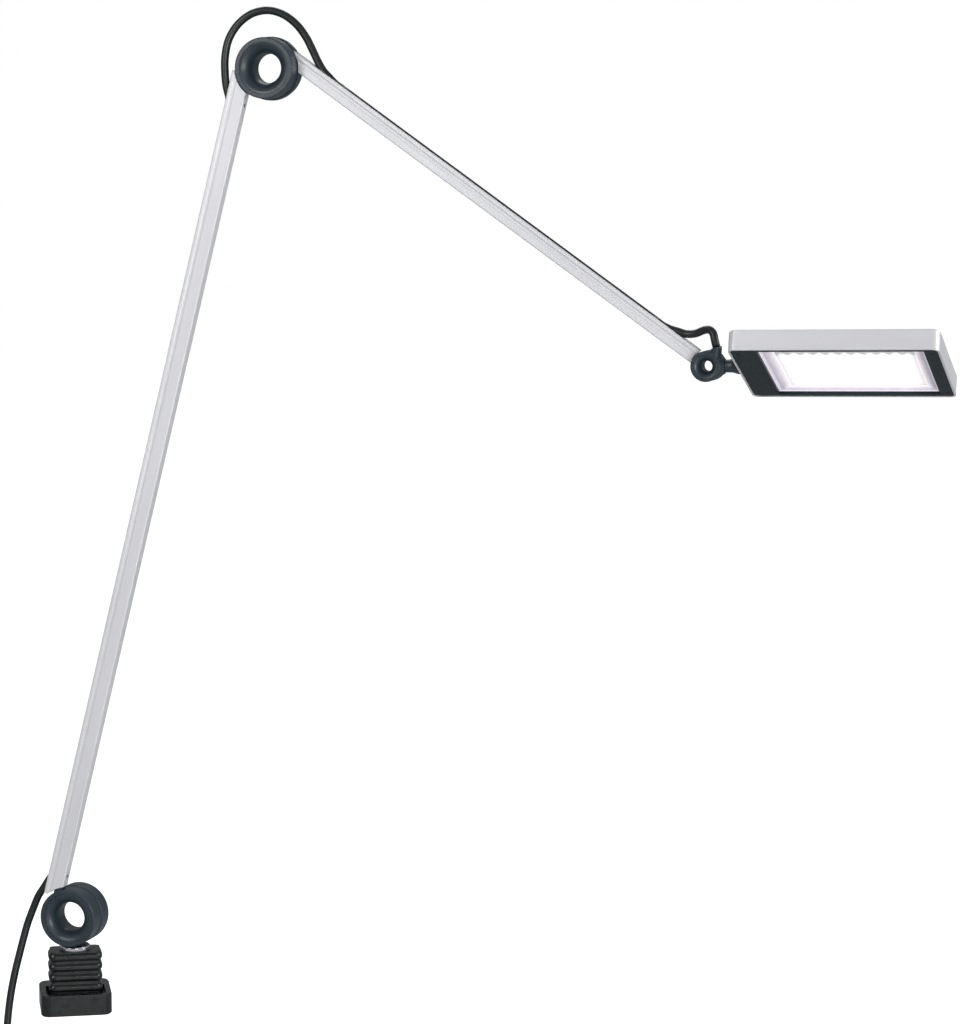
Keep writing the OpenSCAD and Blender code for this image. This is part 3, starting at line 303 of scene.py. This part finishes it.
def rounded_ring(centre, across, along, width, depth, power, sides=48):
    """A ring between a circle (power 2) and a box (a high power), width across by depth along."""
    ring = []
    for k in range(sides):
        turn = 2 * math.pi * k / sides
        c, s = math.cos(turn), math.sin(turn)
        ring.append(
            centre + across * math.copysign(abs(c) ** (2 / power), c) * width / 2 * MM
            + along * math.copysign(abs(s) ** (2 / power), s) * depth / 2 * MM
        )
    return ring


# Plug body: distance below its top, width, depth and squareness
PLUG_SHAPE = [
    (0, 9.0, 9.0, 2.0), (1.5, 9.6, 9.4, 2.0), (6, 12.2, 10.3, 2.2), (11, 16.5, 11.3, 2.5),
    (16, 21.3, 12.2, 2.9), (22, 26.6, 12.9, 3.4), (28, 31.6, 13.3, 4.0), (33, 34.4, 13.45, 4.8),
    (35, 34.8, 13.4, 5.2), (35.6, 34.4, 13.1, 5.4), (36, 33.4, 12.3, 5.6),
]
# Rings every PLUG_STEP down the sides, then closer ones over the rounded foot
PLUG_STEP, PLUG_SIDES = 0.75, 35
PLUG_FOOT = [35.3, 35.6, 35.8, 36]
GRIP_TOP, GRIP_END, GRIP_RIBS, GRIP_DEPTH = 12.0, 27.0, 5, 0.7


def plug_section(z):
    """Width, depth and squareness of the plug at a distance below its top."""
    for low, high in zip(PLUG_SHAPE, PLUG_SHAPE[1:]):
        if z <= high[0]:
            t = (z - low[0]) / (high[0] - low[0])
            return [low[k] + (high[k] - low[k]) * t for k in (1, 2, 3)]
    return list(PLUG_SHAPE[-1][1:])


def make_plug():
    rings = []
    for z in [PLUG_STEP * i for i in range(int(PLUG_SIDES / PLUG_STEP) + 1)] + PLUG_FOOT:
        width, depth, power = plug_section(z)
        if GRIP_TOP < z < GRIP_END:
            rib = math.sin(math.pi * (z - GRIP_TOP) / (GRIP_END - GRIP_TOP) * GRIP_RIBS)
            depth -= GRIP_DEPTH * rib * rib
        rings.append(rounded_ring(plug_at - UP * z * MM, ARM_X, HUB_Y, width, depth, power))
    return loft("plug_body", rings)


SLEEVE_LEN, SLEEVE_TOP_R, SLEEVE_FOOT_R = 21, 3.7, 4.6
SLEEVE_RIBS, SLEEVE_NOTCH = 8, 0.75
RIB_RINGS, SLEEVE_SINK = 8, 0.5
# How deep the notch is at each ring of a rib; the rings that aren't named have none
NOTCH_AT = {0: 0.2, 6: 0.7, 7: 0.7}


def make_sleeve():
    """The ribbed sleeve that keeps the cord from kinking where it enters the plug."""
    heights, radii = [], []
    last = SLEEVE_RIBS * RIB_RINGS
    for i in range(last + 1):
        t = i / last
        full = SLEEVE_FOOT_R + (SLEEVE_TOP_R - SLEEVE_FOOT_R) * t
        notch = NOTCH_AT.get(i % RIB_RINGS, 0.0)
        heights.append(t * SLEEVE_LEN - SLEEVE_SINK)
        radii.append((full - SLEEVE_NOTCH * notch) * MM)
    path = [plug_at + UP * height * MM for height in heights]
    return tube("plug_sleeve", path, radii)


STRAP_WIDTH, STRAP_T, STRAP_SLACK, STRAP_ROUND = 12, 1.2, 0.4, 3.0
STRAP_POWER, STRAP_SIDES, CORNER_STEPS = 6, 24, 8


def make_strap():
    """The band round the coil's upper side, as a closed loop with rounded corners and edges."""
    low = COIL_IN_R - CORD_D / 2 - STRAP_SLACK
    high = max(COIL_OUT_R, COIL_TOP_R) + CORD_D / 2 + STRAP_SLACK
    half = COIL_STEP / 2 + CORD_D / 2 + STRAP_SLACK
    x, y, z = COIL_CENTRE
    centre = at(BASE_HUB, (x, y + COIL_STEP / 2, z + (low + high) / 2))
    rings = []
    reach = (high - low) / 2
    for corner, (sy, sz) in enumerate(((1, 1), (-1, 1), (-1, -1), (1, -1))):
        for k in range(CORNER_STEPS + 1):
            turn = math.radians(90 * corner + 90 * k / CORNER_STEPS)
            outward = math.cos(turn) * HUB_Y + math.sin(turn) * UP
            middle = centre + (
                sy * (half - STRAP_ROUND) * HUB_Y + sz * (reach - STRAP_ROUND) * UP) * MM
            place = middle + outward * (STRAP_ROUND + STRAP_T / 2) * MM
            rings.append(rounded_ring(
                place, ARM_X, outward, STRAP_WIDTH, STRAP_T, STRAP_POWER, STRAP_SIDES))
    return loft("cord_strap", rings, closed=True)


plug_body, plug_sleeve, cord_strap = make_plug(), make_sleeve(), make_strap()
for piece in (plug_body, plug_sleeve, cord_strap):
    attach(piece, "swivel")
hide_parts("mains_plug")
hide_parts("cord_tie")

mains_cord = tube("mains_cord", lead_path, CORD_RADIUS, -LOWER_DIR, -UP)
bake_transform(mains_cord)
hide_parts("cord_tail", "cord_drop", "cord_coil", "cord_plug_lead")
elbow_path = smooth(elbow_route, LOWER_DIR, UPPER_DIR)
elbow_cord = tube("elbow_cord", elbow_path, CORD_RADIUS, LOWER_DIR, UPPER_DIR)
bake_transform(elbow_cord)
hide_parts("cord_elbow_loop")
head_path = smooth(head_route, UPPER_DIR, -BOSS_DIR)
head_cord = tube("head_cord", head_path, CORD_RADIUS, UPPER_DIR, -BOSS_DIR)
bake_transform(head_cord)
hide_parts("cord_head_bend")


ARM_CORD_STEPS = 40


def arm_cord(name, start, end, body, node):
    """The straight length of cord that lies in an arm's groove."""
    path = [start.lerp(end, i / ARM_CORD_STEPS) for i in range(ARM_CORD_STEPS + 1)]
    piece = tube(name, path, CORD_RADIUS)
    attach(piece, body)
    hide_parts(node)
    return piece


lower_arm_cord = arm_cord(
    "lower_arm_cord", lower_groove(BASE_HUB, LOWER_RUN_START), lower_groove(BASE_HUB, LOWER_RUN_END),
    "lower_arm", "cord_lower_run")
upper_arm_cord = arm_cord(
    "upper_arm_cord", upper_groove(UPPER_RUN_START), upper_groove(UPPER_RUN_END),
    "upper_arm", "cord_upper_run")
cord_pieces = [mains_cord, elbow_cord, head_cord, lower_arm_cord, upper_arm_cord]

# ---------------------------------------------------------------- materials
BEVEL_SAMPLES = 4
# How far the rounded normal leans from the surface's own, as 1 less their dot product, at a full edge
EDGE_SHARPNESS = 0.12
# The noise's stretch along an extrusion: its fine lines, and the clouds in its colour
LINE_STRETCH, CLOUD_STRETCH = (1, 1, 0.012), (1, 1, 0.2)


class Surface:
    """A material that is built node by node around one Principled shader."""

    def __init__(self, name, **settings):
        self.material = bpy.data.materials.new(name)
        self.material.use_nodes = True
        self.tree = self.material.node_tree
        self.shader = self.tree.nodes["Principled BSDF"]
        self.coords = self.add("ShaderNodeTexCoord").outputs["Object"]
        for socket, value in settings.items():
            self.set(socket.replace("_", " "), value)

    def add(self, kind, values=(), **options):
        node = self.tree.nodes.new(kind)
        for option, value in options.items():
            setattr(node, option, value)
        for socket, value in dict(values).items():
            self.put(node.inputs[socket], value)
        return node

    def put(self, socket, value):
        if isinstance(value, bpy.types.NodeSocket):
            self.tree.links.new(value, socket)
        else:
            socket.default_value = value

    def set(self, socket, value):
        names = {item.name.lower(): item for item in self.shader.inputs}
        self.put(names[socket.lower()], value)

    def placed(self, matrix, scale=(1, 1, 1)):
        """Coordinates in a frame of their own, in metres, stretched by scale."""
        local = self.add(
            "ShaderNodeMapping", {"Vector": self.coords, "Location": matrix.to_translation(),
                                  "Rotation": matrix.to_euler()}, vector_type="TEXTURE")
        return self.add(
            "ShaderNodeMapping", {"Vector": local.outputs[0], "Scale": scale}).outputs[0]

    def noise(self, size, detail, coords=None):
        """Noise whose blotches are about size metres across."""
        return self.add("ShaderNodeTexNoise", {
            "Vector": coords or self.coords, "Scale": 1 / size, "Detail": detail,
        }).outputs["Fac"]

    def spread(self, value, low, high, start=0.3, end=0.7):
        """Maps a value between start and end onto the range low to high."""
        return self.add("ShaderNodeMapRange", {
            "Value": value, "From Min": start, "From Max": end, "To Min": low, "To Max": high,
        }).outputs["Result"]

    def mottled(self, size, detail, low, high, coords=None):
        """A colour that wanders between two colours, in blotches about size metres across."""
        return self.blend(self.spread(self.noise(size, detail, coords), 0, 1), low, high)

    def blend(self, factor, low, high):
        """A colour between two colours."""
        node = self.add("ShaderNodeMix", data_type="RGBA")
        self.put(node.inputs["Factor"], factor)
        colours = [item for item in node.inputs if item.type == "RGBA"]
        self.put(colours[0], low)
        self.put(colours[1], high)
        return [item for item in node.outputs if item.type == "RGBA"][0]

    def math(self, operation, a, b=0.0):
        node = self.add("ShaderNodeMath", operation=operation)
        self.put(node.inputs[0], a)
        self.put(node.inputs[1], b)
        return node.outputs[0]

    def relief(self, height, depth, strength, edge=None):
        """Bump of some depth in metres, over edges rounded to a radius in metres."""
        bump = self.add("ShaderNodeBump", {"Height": height, "Distance": depth, "Strength": strength})
        if edge:
            self.put(bump.inputs["Normal"], self.rounded(edge))
        self.set("Normal", bump.outputs["Normal"])

    def rounded(self, radius):
        """The surface's normal with its edges rounded to a radius."""
        return self.add("ShaderNodeBevel", {"Radius": radius}, samples=BEVEL_SAMPLES).outputs["Normal"]

    def edges(self, radius):
        """1 along sharp edges, 0 elsewhere."""
        own = self.add("ShaderNodeNewGeometry").outputs["Normal"]
        dot = self.add("ShaderNodeVectorMath", operation="DOT_PRODUCT")
        self.put(dot.inputs[0], self.rounded(radius))
        self.put(dot.inputs[1], own)
        return self.spread(dot.outputs["Value"], 1.0, 0.0, 1 - EDGE_SHARPNESS, 1.0)


def rgb(red, green, blue):
    """A linear colour from the 0 to 255 values that it shows as."""
    def linear(value):
        value /= 255
        return value / 12.92 if value <= 0.04045 else ((value + 0.055) / 1.055) ** 2.4
    return linear(red), linear(green), linear(blue), 1.0


def lacquer(name, dark, light, wear_and_edge_highlight, roughness, depth, coat):
    """Painted or powder coated metal: mottled colour, orange peel, rounded edges paler, partly from wear and
    partly a painted edge highlight.
    """
    s = Surface(name, IOR=1.5)
    colour = s.mottled(14 * MM, 3, dark, light)
    rims = s.edges(0.6 * MM)
    patches = s.spread(s.noise(3 * MM, 4), 0.0, 0.7, 0.35, 0.75)
    # Paler colour on the rounded edges, in patches: partly wear, partly a painted edge highlight
    s.set("Base Color", s.blend(s.math("MULTIPLY", rims, patches), colour, wear_and_edge_highlight))
    s.set("Roughness", s.spread(s.noise(6 * MM, 4), roughness - 0.05, roughness + 0.06))
    s.set("Coat Weight", coat)
    s.set("Coat Roughness", 0.12)
    s.relief(s.noise(0.9 * MM, 2), depth, 1.0, 0.5 * MM)
    return s.material


def anodised(name, matrix, colour, shade, roughness):
    """Satin anodised aluminium with fine lines drawn along the matrix's z axis."""
    s = Surface(name, Metallic=0.35)
    lines = s.noise(1.2 * MM, 2, s.placed(matrix, LINE_STRETCH))
    s.set("Base Color", s.mottled(40 * MM, 3, shade, colour, s.placed(matrix, CLOUD_STRETCH)))
    s.set("Roughness", s.spread(lines, roughness - 0.05, roughness + 0.07))
    s.relief(lines, 0.002 * MM, 0.35)
    return s.material


def metal(name, colour, shade, roughness, depth=0.004 * MM):
    """Bare or plated metal with faint blotches and fine scratches."""
    s = Surface(name, Metallic=1.0)
    s.set("Base Color", s.mottled(5 * MM, 4, shade, colour))
    s.set("Roughness", s.spread(s.noise(1.5 * MM, 4), roughness * 0.8, roughness * 1.35))
    s.relief(s.noise(0.4 * MM, 3), depth, 0.6, 0.25 * MM)
    return s.material


def moulded(name, dark, light, roughness, grain=0.25 * MM, depth=0.01 * MM, gloss=0.5):
    """Moulded plastic or rubber with a fine eroded grain."""
    s = Surface(name, IOR=1.49, Specular_IOR_Level=gloss)
    s.set("Base Color", s.mottled(9 * MM, 4, dark, light))
    s.set("Roughness", s.spread(s.noise(2 * MM, 3), roughness - 0.05, roughness + 0.07))
    s.relief(s.noise(grain, 2), depth, 0.8, 0.4 * MM)
    return s.material


def cord_material():
    """Black cable sheath: smooth, slightly glossy, with faint dust and drawn streaks."""
    s = Surface("cord_sheath", IOR=1.5)
    dust = s.spread(s.noise(1.2 * MM, 5), 0.0, 0.5, 0.5, 0.8)
    s.set("Base Color", s.blend(dust, rgb(24, 29, 29), rgb(52, 60, 60)))
    s.set("Roughness", s.spread(s.noise(2.5 * MM, 4), 0.30, 0.42))
    s.relief(s.noise(0.5 * MM, 3), 0.02 * MM, 0.5)
    return s.material


def strap_material():
    """Woven hook-and-loop band."""
    s = Surface("strap_weave", Sheen_Weight=0.4, Roughness=0.85)
    turned = Matrix((ARM_X, HUB_Y, UP)).transposed().to_quaternion()
    lines = s.placed(Matrix.LocRotScale(plug_at, turned, None))
    weave, cross = (
        s.add("ShaderNodeTexWave", {
            "Vector": lines, "Scale": scale, "Distortion": 0.6, "Detail": 1.0,
        }, bands_direction=way).outputs["Fac"]
        for scale, way in ((260, "X"), (200, "Z")))
    height = s.math("MULTIPLY", weave, cross)
    s.set("Base Color", s.blend(height, rgb(14, 15, 16), rgb(40, 42, 44)))
    s.relief(height, 0.15 * MM, 0.8)
    return s.material


# The head's own frame: x along the head, z up through it, at the small hub
HEAD_X = Vector(joints["head_roll"]["axis"]).normalized()
HEAD_Z = -Vector(joints["button_press"]["axis"]).normalized()
HEAD_Y = HEAD_Z.cross(HEAD_X)
HEAD = Matrix((HEAD_X, HEAD_Y, HEAD_Z)).transposed().to_4x4()
HEAD.translation = Vector(joints["head_roll"]["pos_m"])


def along(direction, origin):
    """A frame whose z axis is a direction."""
    matrix = Matrix((HUB_Y, direction.cross(HUB_Y), direction)).transposed().to_4x4()
    matrix.translation = origin
    return matrix


def head_box(node):
    """Lowest and highest corners of a node in the head's frame."""
    inverse = HEAD.inverted()
    points = [inverse @ vertex.co for vertex in nodes[node].data.vertices]
    return [[pick(point[k] for point in points) for k in range(3)] for pick in (min, max)]


# The lit window: its LEDs, the borders in which its light falls off, and how bright it is
LED_PITCHES = 11
NEAR_BORDER, FAR_BORDER, END_BORDER = 17 * MM, 9 * MM, 13 * MM
NEAR_DIM, FAR_DIM, END_DIM = 0.3, 0.72, 0.5
NEAR_BEFORE, NEAR_AFTER = 2 * MM, 2.5 * MM
SCALLOP = 5 * MM
# LED_STRENGTH is the lamp's own glow; the well's and the lip's strengths are painted light on the reflector, which
# is no lamp
LED_STRENGTH, WELL_PAINTED_LIGHT, LIP_PAINTED_HIGHLIGHT = 1.35, 0.9, 0.45
LED_FALLOFF, WELL_FALLOFF = 1.6, 1.5
# In the well, painted light (emission standing in for the diffuser's light on the reflector) starts WELL_START
# below its top and is full WELL_FULL below it; the lip at its foot has a painted highlight, full up to LIP_BRIGHT
# and gone from LIP_DARK
WELL_START, WELL_FULL = 4.5 * MM, 0.5 * MM
LIP_BRIGHT, LIP_DARK = 0.5 * MM, 1.1 * MM


def diffuser_material():
    """Opal sheet, lit from behind: the row of LEDs shows as scallops along its near border."""
    s = Surface("diffuser_opal", Roughness=0.35, IOR=1.49)
    low, high = head_box("diffuser")
    place = s.add("ShaderNodeSeparateXYZ", {"Vector": s.placed(HEAD)})
    x, y = place.outputs["X"], place.outputs["Y"]
    pitch = (high[0] - low[0]) / LED_PITCHES
    wave = s.math("COSINE", s.math("MULTIPLY", s.math("SUBTRACT", x, low[0]), 2 * math.pi / pitch))
    reach = s.spread(wave, 0.0, SCALLOP, -1, 1)
    near_edge = low[1] + NEAR_BORDER
    inside = s.math("SUBTRACT", y, reach)
    near = s.spread(inside, NEAR_DIM, 1.0, near_edge - NEAR_BEFORE, near_edge + NEAR_AFTER)
    far = s.spread(y, 1.0, FAR_DIM, high[1] - FAR_BORDER, high[1])
    left = s.spread(x, END_DIM, 1.0, low[0], low[0] + END_BORDER)
    right = s.spread(x, 1.0, END_DIM, high[0] - END_BORDER, high[0])
    glow = s.math("MULTIPLY", s.math("MULTIPLY", far, near), s.math("MULTIPLY", left, right))
    s.set("Base Color", rgb(244, 243, 241))
    s.set("Emission Color", s.blend(glow, rgb(206, 194, 208), rgb(255, 253, 249)))
    s.set("Emission Strength", s.math("MULTIPLY", s.math("POWER", glow, LED_FALLOFF), LED_STRENGTH))
    s.relief(s.noise(0.6 * MM, 2), 0.01 * MM, 0.4)
    return s.material


def well_material():
    """White reflector round the diffuser, with painted light: emission for the diffuser's light on it from its
    inner edge, and a painted highlight on its outer lip.
    """
    s = Surface("well_reflector", Roughness=0.32, IOR=1.49)
    low, high = head_box("light_well")
    z = s.add("ShaderNodeSeparateXYZ", {"Vector": s.placed(HEAD)}).outputs["Z"]
    # Painted light: the diffuser's light on the well's walls, given as emission
    lit = s.spread(z, 0.0, 1.0, high[2] - WELL_START, high[2] - WELL_FULL)
    # Painted highlight along the lip at the well's foot
    lip = s.spread(z, LIP_PAINTED_HIGHLIGHT, 0.0, low[2] + LIP_BRIGHT, low[2] + LIP_DARK)
    s.set("Base Color", s.mottled(9 * MM, 4, rgb(216, 208, 220), rgb(226, 220, 230)))
    s.set("Emission Color", s.blend(lit, rgb(226, 216, 232), rgb(255, 251, 246)))
    inner = s.math("MULTIPLY", s.math("POWER", lit, WELL_FALLOFF), WELL_PAINTED_LIGHT)
    s.set("Emission Strength", s.math("ADD", inner, lip))
    s.relief(s.noise(0.3 * MM, 2), 0.005 * MM, 0.5)
    return s.material


def board_material(name, dark, light):
    """Circuit board: solder resist with the faint relief of its tracks."""
    s = Surface(name, Roughness=0.4, IOR=1.5)
    tracks = s.add(
        "ShaderNodeTexVoronoi", {"Vector": s.placed(HEAD), "Scale": 180}, feature="DISTANCE_TO_EDGE")
    line = s.spread(tracks.outputs["Distance"], 1.0, 0.0, 0.0, 0.12)
    s.set("Base Color", s.blend(line, dark, light))
    s.relief(line, 0.03 * MM, 0.7)
    return s.material


SILVER, SILVER_SHADE = rgb(229, 229, 232), rgb(219, 219, 223)
ARM_ROUGHNESS, HEAD_ROUGHNESS = 0.52, 0.38
slot_materials = {
    # In each lacquer the third colour is the paler edge colour: partly wear, partly a painted edge highlight
    "clamp_black": lacquer(
        "clamp_powder_coat", rgb(6, 13, 12), rgb(12, 20, 19), rgb(70, 76, 76), 0.3, 0.004 * MM, 0.15),
    "hub_dark": lacquer(
        "hub_lacquer", rgb(33, 45, 53), rgb(41, 54, 63), rgb(104, 116, 120), 0.4, 0.003 * MM, 0.12),
    "arm_silver": anodised(
        "arm_anodised", along(LOWER_DIR, BASE_HUB), SILVER, SILVER_SHADE, ARM_ROUGHNESS),
    "rubber_black": moulded("pad_rubber", rgb(22, 23, 24), rgb(36, 37, 38), 0.75, 0.5 * MM, 0.04 * MM),
    "steel_bright": metal("zinc_steel", rgb(205, 206, 209), rgb(182, 184, 190), 0.24),
    "chrome": metal("collar_chrome", rgb(242, 243, 245), rgb(230, 232, 236), 0.07, depth=0.001 * MM),
    "brass": metal("insert_brass", rgb(214, 178, 104), rgb(190, 150, 82), 0.26),
    "nylon_dark": moulded("nylon", rgb(48, 53, 53), rgb(62, 67, 67), 0.5),
    "board_white": board_material("board_white", rgb(226, 228, 222), rgb(240, 241, 238)),
    "board_green": board_material("board_green", rgb(26, 92, 52), rgb(58, 130, 84)),
    "led_yellow": moulded("led_phosphor", rgb(238, 214, 120), rgb(250, 232, 150), 0.4),
    "well_white": well_material(),
    "diffuser_opal": diffuser_material(),
    "bezel_dark": moulded(
        "bezel_panel", rgb(9, 27, 31), rgb(13, 32, 36), 0.42, 0.6 * MM, 0.002 * MM, gloss=0.2),
    "cord_black": cord_material(),
}
own_materials = {
    "upper_arm_tube": anodised(
        "upper_arm_anodised", along(UPPER_DIR, ELBOW_HUB), SILVER, SILVER_SHADE, ARM_ROUGHNESS),
    "bezel_screws": metal("black_screw", rgb(30, 42, 45), rgb(22, 34, 37), 0.4),
    "head_housing": anodised(
        "head_anodised", along(HEAD_X, HEAD_HUB), SILVER, SILVER_SHADE, HEAD_ROUGHNESS),
}
for part in frame["record"]["subparts"]:
    name, slot = part["node"], part["material_slot"]
    mesh = nodes[name].data
    material = own_materials.get(name, slot_materials[slot])
    mesh.materials.clear()
    mesh.materials.append(material)
for piece in cord_pieces + [plug_sleeve]:
    piece.data.materials.append(slot_materials["cord_black"])
plug_body.data.materials.append(moulded("plug_plastic", rgb(24, 27, 27), rgb(34, 38, 38), 0.42))
cord_strap.data.materials.append(strap_material())

# ---------------------------------------------------------------- studio
FLOOR_DROP = 12 * MM
FLOOR_HALF = 14.0
# What the lamp reflects: its tint, its strengths from below to above, and where the ramp runs
WORLD_TINT = (0.97, 0.975, 1.0, 1)
WORLD_LOW, WORLD_HIGH = 0.14, 0.30
RAMP_LOW, RAMP_HIGH = -0.5, 0.9
WHITE = (1, 1, 1, 1)
# Softboxes: name, place, aim, width and height in metres, watts
LIGHTS = [
    ("key", (-2.3, -2.2, 1.6), (0.2, -0.1, 0.4), 1.2, 1.6, 36),
    ("front", (0.9, -3.8, 0.5), (0.3, -0.1, 0.35), 2.2, 1.4, 70),
    ("side", (2.6, -1.0, 0.9), (0.2, -0.1, 0.35), 0.9, 1.3, 26),
    ("rim", (0.3, 1.2, 2.1), (0.3, 0, 0.5), 1.6, 0.8, 12),
]


def add_floor():
    """A plain pale floor a little below the plug."""
    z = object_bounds()[0][2] - FLOOR_DROP
    corners = ((-1, -1), (1, -1), (1, 1), (-1, 1))
    floor = new_mesh(
        "studio_floor", [(sx * FLOOR_HALF, sy * FLOOR_HALF, z) for sx, sy in corners],
        [(0, 1, 2, 3)], flat={0})
    s = Surface("studio_floor", Roughness=0.9, Specular_IOR_Level=0.1)
    s.set("Base Color", s.mottled(0.4, 3, rgb(176, 178, 180), rgb(186, 188, 190)))
    s.set("Emission Color", WHITE)
    s.set("Emission Strength", s.add("ShaderNodeLightPath").outputs["Is Camera Ray"])
    floor.data.materials.append(s.material)


def add_world():
    """White behind the lamp; a soft grey gradient for what it reflects."""
    world = bpy.data.worlds.new("studio")
    scene.world = world
    world.use_nodes = True
    tree = world.node_tree
    tree.nodes.clear()
    link = tree.links.new
    coords = tree.nodes.new("ShaderNodeTexCoord")
    split = tree.nodes.new("ShaderNodeSeparateXYZ")
    ramp = tree.nodes.new("ShaderNodeMapRange")
    ramp.inputs["From Min"].default_value, ramp.inputs["From Max"].default_value = RAMP_LOW, RAMP_HIGH
    ramp.inputs["To Min"].default_value, ramp.inputs["To Max"].default_value = WORLD_LOW, WORLD_HIGH
    link(coords.outputs["Generated"], split.inputs[0])
    link(split.outputs["Z"], ramp.inputs["Value"])
    soft, plain = tree.nodes.new("ShaderNodeBackground"), tree.nodes.new("ShaderNodeBackground")
    link(ramp.outputs["Result"], soft.inputs["Strength"])
    soft.inputs["Color"].default_value = WORLD_TINT
    plain.inputs["Color"].default_value = WHITE
    kinds = ("LightPath", "MixShader", "OutputWorld")
    rays, mix, out = (tree.nodes.new("ShaderNode" + kind) for kind in kinds)
    link(rays.outputs["Is Camera Ray"], mix.inputs[0])
    link(soft.outputs[0], mix.inputs[1])
    link(plain.outputs[0], mix.inputs[2])
    link(mix.outputs[0], out.inputs["Surface"])


def softbox(name, place, aim, width, height, power):
    """A white rectangular area light, sizes in metres and power in watts."""
    data = bpy.data.lights.new(name, "AREA")
    data.shape = "RECTANGLE"
    data.size, data.size_y = width, height
    data.energy = power
    light = bpy.data.objects.new(name, data)
    light.location = place
    light.rotation_euler = (Vector(aim) - Vector(place)).to_track_quat("-Z", "Y").to_euler()
    scene.collection.objects.link(light)


add_floor()
add_world()
for light in LIGHTS:
    softbox(*light)
scene.view_settings.view_transform = "Standard"
